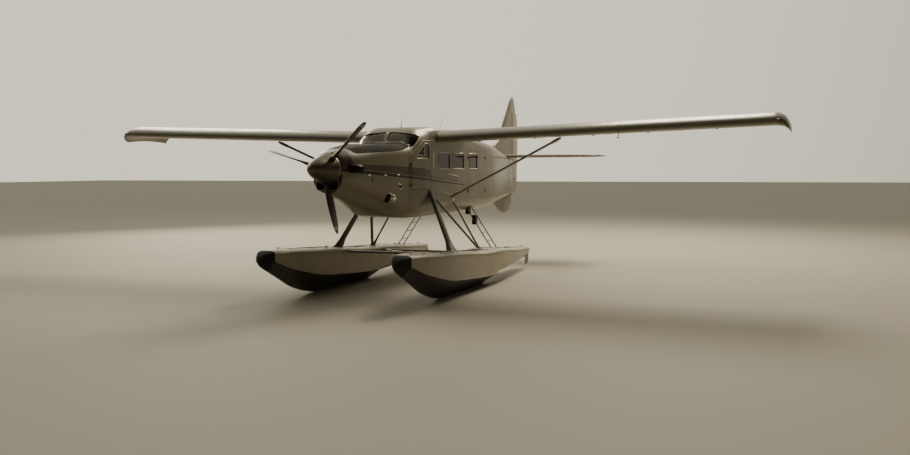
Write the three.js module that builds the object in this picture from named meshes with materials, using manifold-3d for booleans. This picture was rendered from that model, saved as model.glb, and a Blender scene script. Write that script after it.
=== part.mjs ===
// Floatplane: a strut-braced high-wing utility aircraft with one turbine engine, standing on its two floats.
// Millimetres, +Z up, nose towards -Y, port side towards +X; the origin is on the floor under the middle.
// Pieces are drawn from a datum at the wing's leading edge on the centreline, then lifted onto the floor.
import * as THREE from 'three';
import { mergeVertices } from 'three/addons/utils/BufferGeometryUtils.js';
import Module from 'manifold-3d';

const wasm = await Module();
wasm.setup();

// Driving dimensions of the whole aircraft
const KEEL_DEPTH = 3600;
const NOSE_TIP_Y = -4570;
const TAIL_TIP_Y = 9120;
const SEAT_GAP = 0.3;
const RUNNING_GAP = 9;

// Fuselage, cowl and cabin
const WALL = 45;
const COWL_WALL = 25;
const COWL_FRONT_Y = -3850;
const FIREWALL_Y = -1450;
const FIREWALL_THICK = 30;
const CABIN_REAR_Y = 4300;
const BULKHEAD_THICK = 25;
const TAIL_POST_Y = 8371;
const FLOOR_TOP = -1620;
const FLOOR_SPLIT = -1500;
const CEILING = -60;
const CEILING_START_Y = -60;
const FRAME_HALF_WIDTH = 560;
const COWL_SPLIT = -800;
const GLASS_DEPTH = 12;
const GLASS_THICK = 8;

// Columns: y, half width, bottom, top, bottom corner radius, top corner radius
const HULL_SECTIONS = [
  [FIREWALL_Y, 730, -1830, -150, 330, 280],
  [-1250, 760, -1850, -130, 330, 280],
  [-940, 782, -1866, 130, 330, 330],
  [-600, 800, -1870, 268, 330, 400],
  [-60, 800, -1870, 285, 330, 160],
  [1980, 800, -1870, 225, 330, 90],
  [2700, 790, -1865, 150, 330, 200],
  [CABIN_REAR_Y, 740, -1840, 20, 330, 240],
  [6300, 450, -1700, -190, 250, 220],
  [TAIL_POST_Y, 75, -1530, -430, 60, 60],
];
const COWL_SECTIONS = [
  [COWL_FRONT_Y, 330, -1205, -378, 290, 290],
  [-3540, 442, -1345, -312, 330, 300],
  [-2880, 560, -1530, -222, 380, 300],
  [-2290, 648, -1690, -162, 380, 290],
  [-1810, 700, -1790, -150, 350, 280],
  [FIREWALL_Y, 730, -1830, -150, 330, 280],
];

// Engine, exhausts and propeller
const SHAFT_Z = -715;
const ENGINE = { halfWidth: 250, halfHeight: 250, front: -3640, rear: -1900, mountRadius: 20 };
const SHAFT_RADIUS = 60;
const SHAFT_HOLE_RADIUS = 76;
const PROPELLER_Y = -4000;
const SPINNER_BACK_Y = -3865;
const BLADE_ANGLES = [-77, 44, 163];
// Columns: y, radius
const SPINNER_PROFILE = [
  [NOSE_TIP_Y, 0], [-4545, 52], [-4470, 112], [-4320, 188], [-4120, 255], [-3960, 305], [SPINNER_BACK_Y, 330],
];
// Columns: radius, chord, thickness, twist in degrees from edge-on
const BLADE_SECTIONS = [
  [120, 110, 110, 0],
  [330, 132, 84, 4],
  [540, 212, 44, 10],
  [880, 250, 30, 4],
  [1190, 236, 20, -3],
  [1345, 128, 9, -6],
];
const HUB = { radius: 140, halfLength: 80 };
const EXHAUST_RADIUS = 88;
const EXHAUST_WALL = 7;
// Columns: x, y, z
const EXHAUST_PATH = [[235, -3590, -705], [400, -3600, -705], [505, -3545, -705], [548, -3420, -708]];
const CHIN_INLET = { halfWidth: 262, bottom: -1150, top: -905, corner: 95 };
const OUTLET = { y: -2290, z: -1360, radius: 125 };
const SMALL_VENT = { y: -1810, z: -1120, radius: 58 };

// Wing
const ROOT_X = 800;
const SEMI_SPAN = 8840;
const CHORD = 1980;
const DIHEDRAL = THREE.MathUtils.degToRad(2);
const AIRFOIL = { thickness: 0.15, camber: 0.04, camberAt: 0.4, steps: 13 };
// Columns: x, leading edge y, thickness scale, droop
const WING_SECTIONS = [
  [ROOT_X + SEAT_GAP, 0, 1, 0],
  [8500, 0, 1, 0],
  [8690, 45, 0.86, 45],
  [8790, 150, 0.62, 135],
  [SEMI_SPAN, 330, 0.3, 215],
];
const SURFACE_HINGE = { y: 1430, z: 56.7, noseRadius: 82, coveRadius: 95 };
const FLAP_SPAN = [900, 4893];
const AILERON_SPAN = [4907, 8500];
const HINGE_RIB_AFT = 60;
const END_GAP = 8;
const PIN_RADIUS = 12;
const PIN_GAP = 0.6;
const FLAP_DOWN = 60;
const AILERON_TRAVEL = 20;
const WING_STRUT = { bottom: [ROOT_X, 1070, -1430], top: [3750, 370, -40], chord: 155, thick: 62 };

// Tail
const TAILPLANE_Z = -330;
const ELEVATOR_HINGE_Y = 8150;
const TAILPLANE_REAR_Y = 8107;
// Columns: x, leading edge y, half thickness at the thickest place, half thickness at the rear face
const TAILPLANE_SECTIONS = [
  [0, 7070, 56, 34],
  [2900, 7250, 46, 30],
  [3120, 7330, 38, 26],
  [3220, 7560, 18, 14],
];
// Columns: x, trailing edge y, hinge nose radius
const ELEVATOR_SECTIONS = [
  [150, 8620, 33],
  [340, 8770, 33],
  [2950, 8740, 29],
  [3120, 8660, 26],
  [3210, 8430, 15],
];
const TORQUE_TUBE = { radius: 25, hole: 25.7, sides: 24 };
const RUDDER_HINGE_Y = 8420;
const RUDDER_FLOOR_Z = -1540;
const RUDDER_TOP_Z = 1130;
// Columns: z, trailing edge y, hinge nose radius
const RUDDER_SECTIONS = [
  [RUDDER_FLOOR_Z, 8930, 34],
  [-1000, 9050, 38],
  [200, TAIL_TIP_Y, 40],
  [700, 9112, 38],
  [RUDDER_TOP_Z, 8960, 32],
];
// Columns: z, leading edge y, rear y, half thickness at the thickest place, half thickness at the rear
const FIN_SECTIONS = [
  [-500, 5850, TAIL_POST_Y, 60, 42],
  [-130, 5930, TAIL_POST_Y, 58, 42],
  [20, 6620, TAIL_POST_Y, 56, 41],
  [250, 7180, TAIL_POST_Y, 54, 40],
  [600, 7430, TAIL_POST_Y, 50, 39],
  [RUDDER_TOP_Z + END_GAP, 7925, TAIL_POST_Y, 42, 35],
  [RUDDER_TOP_Z + END_GAP + 1, 7926, 8850, 42, 8],
  [1540, 8290, 8700, 30, 6],
  [1642, 8440, 8610, 12, 4],
];
// Columns: y, z
const VENTRAL_FIN = [
  [6450, -1600], [6800, -1880], [7150, -2060], [7550, -2150],
  [7950, -2120], [8250, -1990], [TAIL_POST_Y - 1, -1850], [TAIL_POST_Y - 1, -1450],
];
const VENTRAL_HALF = 18;
const RUDDER_HEEL = { halfWidth: 22, front: 8250, rear: 8462, bottom: -1600, top: -1549 };

// Floats, with the float centreline at FLOAT_X
const FLOAT_X = 1600;
const BOW_JOINT_Y = -3700;
// Columns: y, half width, deck, chine, keel
const FLOAT_SECTIONS = [
  [BOW_JOINT_Y, 216, -2456, -2690, -2900],
  [-3300, 325, -2460, -2865, -3090],
  [-2700, 405, -2497, -3020, -3370],
  [-2000, 430, -2537, -3150, -3560],
  [-1600, 430, -2560, -3195, -3600],
  [1000, 430, -2725, -3330, -3600],
  [1004, 430, -2725, -3290, -3510],
  [3000, 330, -2855, -3190, -3390],
  [4700, 160, -2965, -3110, -3250],
];
const BUMPER_SECTIONS = [
  [-4000, 42, -2590, -2675, -2715],
  [-3970, 92, -2545, -2677, -2755],
  [-3880, 150, -2490, -2680, -2815],
  [BOW_JOINT_Y - SEAT_GAP, 216, -2456, -2690, -2900],
];
const KEEL_HALF_WIDTH = 30;
const SPREADER_BARS = { front: [-735, -2720], rear: [1175, -2842], chord: 130, thick: 60 };
const FLOAT_STRUTS = [
  { name: 'front', from: [815, -340, -1290], to: [1515, -730, -2650], chord: 240, thick: 64, deck: -2617 },
  { name: 'slanting', from: [800, -300, -1310], to: [1520, 1175, -2785], chord: 120, thick: 44 },
  { name: 'rear', from: [800, 1200, -1570], to: [1520, 1175, -2785], chord: 88, thick: 40, deck: -2737 },
];
const STRUT_FOOT = { halfWidth: 55, reach: 45, below: 60, above: 32 };
const WATER_RUDDER = { pinY: 4742, lugs: [[-3212, -3192], [-3022, -3002]], lugHalf: 16, post: 13, thick: 16 };
// Columns: y, z
const WATER_RUDDER_BLADE = [
  [4778, -3006], [4778, -3430], [4850, -3510],
  [5070, -3470], [5140, -3240], [5050, -3006],
];
// Places on the ladder are x, z, and its rungs lie at shares of its length
const LADDER = {
  railY: [2450, 2850],
  top: [657, -1750],
  foot: [1405, -2878],
  radius: 16,
  rungs: [0.2, 0.4, 0.6, 0.8],
};

// Doors and windows: outlines as y, z, and the hinge's y
const COCKPIT_DOOR = {
  outline: [[-1320, -1200], [-310, -1200], [-310, -78], [-690, -78], [-1320, -430]],
  hinge: -1320,
  hingeZ: [-1080, -620],
  gap: 9,
};
const COCKPIT_WINDOW = [[-1150, -470], [-385, -485], [-405, -150], [-520, -118], [-640, -118]];
const oblong = (y0, y1, z0, z1) => [[y0, z0], [y1, z0], [y1, z1], [y0, z1]];
const CABIN_DOOR = { outline: oblong(2250, 3082, -1480, -230), hinge: 2250, hingeZ: [-1300, -420], gap: 5 };
const CARGO_DOOR = { outline: oblong(3084, 3680, -1480, -230), hinge: 3680, hingeZ: [-1300, -420], gap: 5 };
const CABIN_DOOR_WINDOW = oblong(2345, 2985, -720, -320);
const CABIN_WINDOWS = [oblong(160, 940, -720, -320), oblong(1130, 1930, -720, -320)];
const WINDOW_STRIP = oblong(130, 1960, -745, -295);
// Columns: x, z
const WINDSHIELD = [[28, -78], [440, -98], [690, -235], [700, 5], [560, 95], [28, 150]];
const WINDSHIELD_DEPTH_Y = [-1238, -640];
const HINGE = { radius: 9, length: 34, stand: 12, strap: 62, plate: 5, root: 14 };

// Seats and controls
const SEAT_HALF = 230;
const PILOT_SEAT = { x: 360, y: -720, cushion: -1180, backTop: -560 };
const BENCH = { half: 690, rows: [['front', 230], ['rear', 1290]], cushion: -1200, backTop: -640 };
const WHEEL = { x: 360, y: -850, z: -840, across: 150, high: 130, tube: 14 };

// Finishes
function paint(color, roughness, metalness) {
  return new THREE.MeshStandardMaterial({ color, roughness, metalness });
}

const CREAM = paint(0xd9d2bc, 0.35, 0.1);
const FLOAT_PAINT = paint(0xcfc8b2, 0.4, 0.15);
const METAL = paint(0x8b8c8e, 0.4, 0.8);
const BLADE_BLACK = paint(0x232323, 0.5, 0.1);
const POLISHED = paint(0xc9c6bd, 0.15, 0.95);
const SOOT = paint(0x2b2826, 0.7, 0.6);
const IRON = paint(0x55565a, 0.7, 0.5);
const RUBBER = paint(0x161616, 0.9, 0);
const GLASS = paint(0x1f2a2e, 0.05, 0);
const TRIM = paint(0x3b3a38, 0.8, 0);
const SEAT_CLOTH = paint(0x4a463f, 0.9, 0);

const up = new THREE.Vector3(0, 1, 0);
const at = (x, y, z) => new THREE.Vector3(x, y, z);
const radians = THREE.MathUtils.degToRad;

// Closed bodies from three.js geometry, and back again
function solid(geometry) {
  geometry.deleteAttribute('normal');
  geometry.deleteAttribute('uv');
  const merged = mergeVertices(geometry, 1e-3);
  const faces = [];
  for (let i = 0; i < merged.index.count; i += 3) {
    const [a, b, c] = [0, 1, 2].map((step) => merged.index.getX(i + step));
    if (a !== b && b !== c && c !== a) faces.push(a, b, c);
  }
  const vertProperties = new Float32Array(merged.attributes.position.array);
  return new wasm.Manifold(new wasm.Mesh({ numProp: 3, vertProperties, triVerts: new Uint32Array(faces) }));
}

function geometryOf(body) {
  const mesh = body.getMesh();
  const geometry = new THREE.BufferGeometry();
  geometry.setAttribute('position', new THREE.BufferAttribute(new Float32Array(mesh.vertProperties), 3));
  geometry.setIndex(new THREE.BufferAttribute(new Uint32Array(mesh.triVerts), 1));
  return geometry;
}

const shifted = (body, x, y, z) => solid(geometryOf(body).translate(x, y, z));
const joined = (bodies) => bodies.reduce((whole, next) => whole.add(next));

// A skin over rings of points, with its two ends closed from their middles
function loft(rings) {
  const count = rings[0].length;
  const points = rings.flat();
  const faces = [];
  for (let row = 0; row + 1 < rings.length; row += 1) {
    for (let i = 0; i < count; i += 1) {
      const next = (i + 1) % count;
      const [a, b] = [row * count + i, row * count + next];
      faces.push([a, b, b + count], [a, b + count, a + count]);
    }
  }
  const last = (rings.length - 1) * count;
  for (const [start, ring, forward] of [[0, rings[0], false], [last, rings[rings.length - 1], true]]) {
    const middle = points.length;
    points.push(ring.reduce((sum, point) => sum.add(point), at(0, 0, 0)).divideScalar(count));
    for (let i = 0; i < count; i += 1) {
      const [a, b] = [start + i, start + ((i + 1) % count)];
      faces.push(forward ? [middle, a, b] : [middle, b, a]);
    }
  }
  const volume = faces.reduce((sum, [a, b, c]) => sum + points[a].dot(points[b].clone().cross(points[c])), 0);
  const order = faces.flatMap(([a, b, c]) => (volume > 0 ? [a, b, c] : [a, c, b]));
  const geometry = new THREE.BufferGeometry().setFromPoints(points);
  geometry.setIndex(order);
  return solid(geometry);
}

function block(x0, x1, y0, y1, z0, z1) {
  const geometry = new THREE.BoxGeometry(Math.abs(x1 - x0), Math.abs(y1 - y0), Math.abs(z1 - z0));
  return solid(geometry.translate((x0 + x1) / 2, (y0 + y1) / 2, (z0 + z1) / 2));
}

function rod(from, to, radius, sides = 12) {
  const [start, end] = [at(...from), at(...to)];
  const geometry = new THREE.CylinderGeometry(radius, radius, start.distanceTo(end), sides);
  geometry.applyQuaternion(new THREE.Quaternion().setFromUnitVectors(up, end.clone().sub(start).normalize()));
  const middle = start.add(end).multiplyScalar(0.5);
  return solid(geometry.translate(middle.x, middle.y, middle.z));
}

// A flat outline of y, z points (or a shape) carried along X, and one of x, z points carried along Y
function asShape(outline) {
  return Array.isArray(outline) ? new THREE.Shape(outline.map(([u, v]) => new THREE.Vector2(u, v))) : outline;
}

function alongX(outline, x0, x1) {
  const [low, high] = [Math.min(x0, x1), Math.max(x0, x1)];
  const settings = { depth: high - low, bevelEnabled: false, curveSegments: 12 };
  const geometry = new THREE.ExtrudeGeometry(asShape(outline), settings);
  geometry.applyMatrix4(new THREE.Matrix4().makeBasis(at(0, 1, 0), at(0, 0, 1), at(1, 0, 0)));
  return solid(geometry.translate(low, 0, 0));
}

function alongY(outline, y0, y1) {
  const settings = { depth: y1 - y0, bevelEnabled: false, curveSegments: 6 };
  const geometry = new THREE.ExtrudeGeometry(asShape(outline), settings);
  geometry.applyMatrix4(new THREE.Matrix4().makeBasis(at(1, 0, 0), at(0, 0, 1), at(0, -1, 0)));
  return solid(geometry.translate(0, y1, 0));
}

function roundedShape(u0, u1, v0, v1, corner) {
  const shape = new THREE.Shape();
  shape.absarc(u1 - corner, v0 + corner, corner, -Math.PI / 2, 0);
  shape.absarc(u1 - corner, v1 - corner, corner, 0, Math.PI / 2);
  shape.absarc(u0 + corner, v1 - corner, corner, Math.PI / 2, Math.PI);
  shape.absarc(u0 + corner, v0 + corner, corner, Math.PI, Math.PI * 1.5);
  return shape;
}

// An outline moved inwards by a distance on every edge
function inset(outline, distance) {
  const points = outline.map(([u, v]) => new THREE.Vector2(u, v));
  const turn = Math.sign(THREE.ShapeUtils.area(points));
  return points.map((point, i) => {
    const before = point.clone().sub(points[(i + points.length - 1) % points.length]).normalize();
    const after = points[(i + 1) % points.length].clone().sub(point).normalize();
    const [n0, n1] = [before, after].map((edge) => new THREE.Vector2(-edge.y, edge.x).multiplyScalar(turn));
    const bisector = n0.clone().add(n1).normalize();
    const move = bisector.multiplyScalar(distance / bisector.dot(n0));
    return [point.x + move.x, point.y + move.y];
  });
}

function ovalRing(centre, long, short, count = 12) {
  return Array.from({ length: count }, (_, i) => {
    const angle = (i / count) * Math.PI * 2;
    return centre.clone().addScaledVector(long, Math.cos(angle)).addScaledVector(short, Math.sin(angle));
  });
}

// Fuselage and cowl sections: rounded boxes, shrunk by a depth under the skin
function roundedRing([y, halfWidth, bottom, top, cornerBottom, cornerTop], depth = 0, steps = 4) {
  const [wide, low, high] = [halfWidth - depth, bottom + depth, top - depth];
  const [small, large] = [Math.max(cornerBottom - depth, 5), Math.max(cornerTop - depth, 5)];
  const corners = [
    [wide - small, low + small, small, -90],
    [wide - large, high - large, large, 0],
    [large - wide, high - large, large, 90],
    [small - wide, low + small, small, 180],
  ];
  return corners.flatMap(([x, z, radius, start]) => Array.from({ length: steps + 1 }, (_, i) => {
    const angle = radians(start + (90 * i) / steps);
    return at(x + radius * Math.cos(angle), y, z + radius * Math.sin(angle));
  }));
}

function sectionAt(table, y) {
  const next = Math.max(1, table.findIndex((row) => row[0] >= y));
  const [a, b] = [table[next - 1], table[next]];
  const share = (y - a[0]) / (b[0] - a[0]);
  return a.map((value, i) => value + (b[i] - value) * share);
}

const hull = (depth = 0) => loft(HULL_SECTIONS.map((row) => roundedRing(row, depth)));
const cabinLength = block(-1500, 1500, FIREWALL_Y + FIREWALL_THICK, CABIN_REAR_Y, -2500, 1000);

function cabinSpace(clear = 0) {
  const inner = HULL_SECTIONS.map(([y]) => y).filter((y) => y > FIREWALL_Y && y < CABIN_REAR_Y);
  const stops = [FIREWALL_Y + 10, ...inner, CEILING_START_Y - 40, CABIN_REAR_Y + 10].sort((a, b) => a - b);
  return loft(stops.map((y) => {
    const [, halfWidth, , top, , cornerTop] = sectionAt(HULL_SECTIONS, y);
    const cabin = y >= CEILING_START_Y;
    const high = cabin ? CEILING : top - WALL;
    return roundedRing([y, halfWidth - WALL, FLOOR_TOP, high, 20, cabin ? 40 : cornerTop - WALL], clear);
  }));
}

const parts = new THREE.Group();
parts.position.set(0, -(NOSE_TIP_Y + TAIL_TIP_Y) / 2, KEEL_DEPTH);

function place(name, body, material, origin = [0, 0, 0]) {
  const geometry = geometryOf(body).translate(-origin[0], -origin[1], -origin[2]);
  const mesh = new THREE.Mesh(geometry, material);
  mesh.name = name;
  mesh.position.set(...origin);
  parts.add(mesh);
}

const SIDES = [['port', 1], ['starboard', -1]];

// Door and glass shells between two depths under the fuselage skin
const hullBody = hull();
const hullClear = hull(-SEAT_GAP);
const leafShell = hullBody.subtract(hull(WALL));
const glassShell = hull(GLASS_DEPTH).subtract(hull(GLASS_DEPTH + GLASS_THICK));
const skinX = (y) => sectionAt(HULL_SECTIONS, y)[1];

// A door hinge: two knuckles on one pin line, each on a strap; the fixed one is below
function hinges(door, side) {
  const away = Math.sign(door.outline.reduce((sum, [y]) => sum + y, 0) / door.outline.length - door.hinge);
  const axis = [side * (skinX(door.hinge) + HINGE.stand), door.hinge];
  const knuckle = (z0, z1, way) => {
    const near = axis[0] - side * (HINGE.radius - HINGE.plate);
    const plate = block(near, axis[0] - side * HINGE.radius, axis[1], axis[1] + way * HINGE.strap, z0, z1);
    const reach = axis[0] - side * (HINGE.stand + HINGE.root);
    const root = block(near, reach, axis[1] + way * RUNNING_GAP, axis[1] + way * HINGE.strap, z0, z1);
    return joined([rod([...axis, z0], [...axis, z1], HINGE.radius), plate, root]);
  };
  const fixed = door.hingeZ.map((z) => knuckle(z - HINGE.length, z, -away));
  const moving = door.hingeZ.map((z) => knuckle(z + SEAT_GAP, z + HINGE.length, away));
  return { axis, fixed: joined(fixed), moving: joined(moving) };
}

const through = (outline, side) => alongX(outline, side * 300, side * 1200);
const DOORS = [
  ['cockpit_door', COCKPIT_DOOR, COCKPIT_WINDOW, [1, -1]],
  ['cabin_door', CABIN_DOOR, CABIN_DOOR_WINDOW, [1, -1]],
  ['cargo_door', CARGO_DOOR, null, [1]],
];

function doorParts(side) {
  return DOORS.filter(([, , , sides]) => sides.includes(side)).map(([name, door, window]) => {
    const hinge = hinges(door, side);
    let leaf = leafShell.intersect(through(inset(door.outline, door.gap), side));
    if (window) leaf = leaf.subtract(through(window, side));
    const glass = window ? glassShell.intersect(through(inset(window, SEAT_GAP), side)) : null;
    return { name, door, hinge, leaf: leaf.add(hinge.moving), glass };
  });
}

// Cabin shell: floor tray, two sides, roof with the windshield frame
const shell = hullBody.intersect(cabinLength).subtract(cabinSpace());
const gap = SEAT_GAP / 2;
const windshieldCut = joined(SIDES.map(([, side]) => alongY(
  WINDSHIELD.map(([x, z]) => [side * x, z]), ...WINDSHIELD_DEPTH_Y)));
const roofRegion = block(-2000, 2000, -2000, 6000, CEILING + gap, 1000)
  .add(block(-FRAME_HALF_WIDTH + gap, FRAME_HALF_WIDTH - gap, -2000, 0, -700, 500));
place('cabin_floor', shell.intersect(block(-2000, 2000, -2000, 6000, -2500, FLOOR_SPLIT - gap)), CREAM);
place('cabin_roof', shell.intersect(roofRegion).subtract(windshieldCut), CREAM);

for (const [label, side] of SIDES) {
  const inner = side * (FRAME_HALF_WIDTH + gap);
  const region = block(inner, side * 2000, -2000, 6000, FLOOR_SPLIT + gap, CEILING - gap);
  let wall = shell.intersect(region).subtract(windshieldCut);
  for (const window of CABIN_WINDOWS) wall = wall.subtract(through(window, side));
  wall = wall.subtract(through(WINDOW_STRIP, side).intersect(hull(GLASS_DEPTH - SEAT_GAP)));
  const doors = doorParts(side);
  for (const { name, door, hinge, leaf, glass } of doors) {
    wall = wall.subtract(through(door.outline, side));
    place(`${name}_${label}`, leaf, CREAM, [...hinge.axis, 0]);
    if (glass) place(`${name}_glass_${label}`, glass, GLASS, [...hinge.axis, 0]);
  }
  place(`cabin_side_${label}`, joined([wall, ...doors.map(({ hinge }) => hinge.fixed)]), CREAM);
  place(`cabin_glass_${label}`, glassShell.intersect(through(inset(WINDOW_STRIP, SEAT_GAP), side)), GLASS);
  const pane = WINDSHIELD.map(([x, z]) => [side * x, z]);
  const paneDepth = [WINDSHIELD_DEPTH_Y[0] + SEAT_GAP, WINDSHIELD_DEPTH_Y[1]];
  place(`windshield_${label}`, glassShell.intersect(alongY(inset(pane, SEAT_GAP), ...paneDepth)), GLASS);
}

// Firewall and rear bulkhead close the cabin; the tail cone is a shell behind it
place('firewall', hullBody.intersect(
  block(-1500, 1500, FIREWALL_Y, FIREWALL_Y + FIREWALL_THICK - SEAT_GAP, -2500, 1000)), METAL);
place('rear_bulkhead', hullBody.intersect(
  block(-1500, 1500, CABIN_REAR_Y + SEAT_GAP, CABIN_REAR_Y + BULKHEAD_THICK, -2500, 1000)), METAL);

// Elevator, rudder and other hinged surfaces share one section: a round nose and a thin trailing edge
const TRAILING_HALF = 5;
function surfaceRing(nose, chordWay, thickWay, hinge, chord) {
  const points = Array.from({ length: 9 }, (_, i) => {
    const angle = radians(90 + (180 * i) / 8);
    const [along, across] = [nose * Math.cos(angle), nose * Math.sin(angle)];
    return hinge.clone().addScaledVector(chordWay, along).addScaledVector(thickWay, across);
  });
  const edge = (half) => hinge.clone().addScaledVector(chordWay, chord).addScaledVector(thickWay, half);
  return [...points, edge(-TRAILING_HALF), edge(TRAILING_HALF)];
}

// Fixed tail surfaces have a rounded nose, a thickest place and a flat rear face
const FIN_STEPS = [[0.004, 0.22], [0.04, 0.62], [0.14, 0.92], [0.32, 1]];
function finRing(lead, rear, half, rearHalf, toPoint) {
  const nose = FIN_STEPS.map(([share, scale]) => [lead + (rear - lead) * share, half * scale]);
  const outline = [[lead, 0], ...nose, [rear, rearHalf], [rear, -rearHalf]];
  return [...outline, ...nose.reverse().map(([y, offset]) => [y, -offset])].map(toPoint);
}

function tailplane(grow) {
  const rows = [...TAILPLANE_SECTIONS].reverse().map(([x, ...rest]) => [-x, ...rest]);
  return loft([...rows, ...TAILPLANE_SECTIONS.slice(1)].map(([x, lead, half, rearHalf]) => {
    const toPoint = ([y, z]) => at(x, y, TAILPLANE_Z + z);
    return finRing(lead - grow, TAILPLANE_REAR_Y + grow, half + grow, rearHalf + grow, toPoint);
  }));
}

const tailLength = block(-1500, 1500, CABIN_REAR_Y + BULKHEAD_THICK + SEAT_GAP, TAIL_POST_Y, -2500, 1000);
const tailHollow = hull(WALL).intersect(block(-1500, 1500, 0, TAIL_POST_Y - 300, -2500, 1000));
const ventral = alongX(VENTRAL_FIN, -VENTRAL_HALF, VENTRAL_HALF);
const heel = block(
  -RUDDER_HEEL.halfWidth, RUDDER_HEEL.halfWidth,
  RUDDER_HEEL.front, RUDDER_HEEL.rear,
  RUDDER_HEEL.bottom, RUDDER_HEEL.top,
);
const crossRod = (half, radius) => rod(
  [-half, ELEVATOR_HINGE_Y, TAILPLANE_Z], [half, ELEVATOR_HINGE_Y, TAILPLANE_Z], radius, TORQUE_TUBE.sides);
place('tail_cone', joined([hullBody.intersect(tailLength), ventral, heel])
  .subtract(tailHollow).subtract(tailplane(SEAT_GAP)), CREAM);
place('tailplane', tailplane(0), CREAM);

const finBody = loft(FIN_SECTIONS.map(([z, lead, rear, half, rearHalf]) => finRing(
  lead, rear, half, rearHalf, ([y, x]) => at(x, y, z))));
place('fin', finBody.subtract(shifted(hullBody, 0, 0, SEAT_GAP)).subtract(tailplane(SEAT_GAP))
  .subtract(crossRod(400, TORQUE_TUBE.hole)), CREAM);

const elevatorHalf = (side) => loft(ELEVATOR_SECTIONS.map(([x, trail, nose]) => surfaceRing(
  nose, at(0, 1, 0), at(0, 0, 1), at(side * x, ELEVATOR_HINGE_Y, TAILPLANE_Z), trail - ELEVATOR_HINGE_Y)));
place('elevator', joined([elevatorHalf(1), elevatorHalf(-1), crossRod(200, TORQUE_TUBE.radius)]),
  CREAM, [0, ELEVATOR_HINGE_Y, TAILPLANE_Z]);

const rudderBody = loft(RUDDER_SECTIONS.map(([z, trail, nose]) => surfaceRing(
  nose, at(0, 1, 0), at(1, 0, 0), at(0, RUDDER_HINGE_Y, z), trail - RUDDER_HINGE_Y)));
const rudderPin = (z0, z1) => rod([0, RUDDER_HINGE_Y, z0], [0, RUDDER_HINGE_Y, z1], PIN_RADIUS);
place('rudder', joined([
  rudderBody,
  rudderPin(RUDDER_HEEL.top + SEAT_GAP, RUDDER_FLOOR_Z + 40),
  rudderPin(RUDDER_TOP_Z - 40, RUDDER_TOP_Z + END_GAP - SEAT_GAP),
]), CREAM, [0, RUDDER_HINGE_Y, 0]);

// Cowl in two halves around the engine, open at the chin, the outlets and the exhausts
function tubeAlong(path, radius, inner) {
  const shape = new THREE.Shape().absarc(0, 0, radius, 0, Math.PI * 2);
  if (inner) shape.holes.push(new THREE.Path().absarc(0, 0, inner, 0, Math.PI * 2, true));
  const curve = new THREE.CatmullRomCurve3(path.map((point) => at(...point)));
  const settings = { extrudePath: curve, steps: 5, curveSegments: 6, bevelEnabled: false };
  return solid(new THREE.ExtrudeGeometry(shape, settings));
}

const cowlOuter = loft(COWL_SECTIONS.map((row) => roundedRing(row)));
const cowlInner = loft(COWL_SECTIONS.map((row) => roundedRing(row, COWL_WALL)))
  .intersect(block(-1500, 1500, COWL_FRONT_Y + COWL_WALL, 0, -2500, 1000));
const mirrored = (path, side) => path.map(([x, y, z]) => [side * x, y, z]);
const inlet = roundedShape(
  -CHIN_INLET.halfWidth, CHIN_INLET.halfWidth, CHIN_INLET.bottom, CHIN_INLET.top, CHIN_INLET.corner);
const cowlCuts = joined([
  rod([0, COWL_FRONT_Y - 20, SHAFT_Z], [0, COWL_FRONT_Y + 60, SHAFT_Z], SHAFT_HOLE_RADIUS, 20),
  alongY(inlet, COWL_FRONT_Y - 50, COWL_FRONT_Y + 60),
  rod([-1000, OUTLET.y, OUTLET.z], [1000, OUTLET.y, OUTLET.z], OUTLET.radius, 20),
  rod([-1000, SMALL_VENT.y, SMALL_VENT.z], [1000, SMALL_VENT.y, SMALL_VENT.z], SMALL_VENT.radius, 14),
  ...SIDES.map(([, side]) => tubeAlong(mirrored(EXHAUST_PATH, side), EXHAUST_RADIUS + SEAT_GAP * 2)),
]);
const cowl = cowlOuter.subtract(cowlInner).subtract(cowlCuts).intersect(
  block(-1500, 1500, COWL_FRONT_Y - 10, FIREWALL_Y - SEAT_GAP, -2500, 1000));
place('cowl_upper', cowl.intersect(block(-1500, 1500, -5000, 0, COWL_SPLIT + gap, 1000)), CREAM);
place('cowl_lower', cowl.intersect(block(-1500, 1500, -5000, 0, -2500, COWL_SPLIT - gap)), CREAM);

const engineMount = (side, level) => rod(
  [side * 200, ENGINE.rear - 60, SHAFT_Z + level * 190],
  [side * 420, FIREWALL_Y - SEAT_GAP, SHAFT_Z + level * 330],
  ENGINE.mountRadius,
);
const mounts = [-1, 1].flatMap((side) => [-1, 1].map((level) => engineMount(side, level)));
const engineBlock = block(
  -ENGINE.halfWidth, ENGINE.halfWidth,
  ENGINE.front, ENGINE.rear,
  SHAFT_Z - ENGINE.halfHeight, SHAFT_Z + ENGINE.halfHeight,
);
place('engine', joined([engineBlock, ...mounts]).subtract(
  block(-1500, 1500, FIREWALL_Y - SEAT_GAP, 0, -2500, 1000)), IRON);
for (const [label, side] of SIDES) {
  const pipe = tubeAlong(mirrored(EXHAUST_PATH, side), EXHAUST_RADIUS, EXHAUST_RADIUS - EXHAUST_WALL);
  place(`exhaust_${label}`, pipe.subtract(shifted(engineBlock, side * SEAT_GAP, 0, 0)), SOOT);
}

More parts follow.
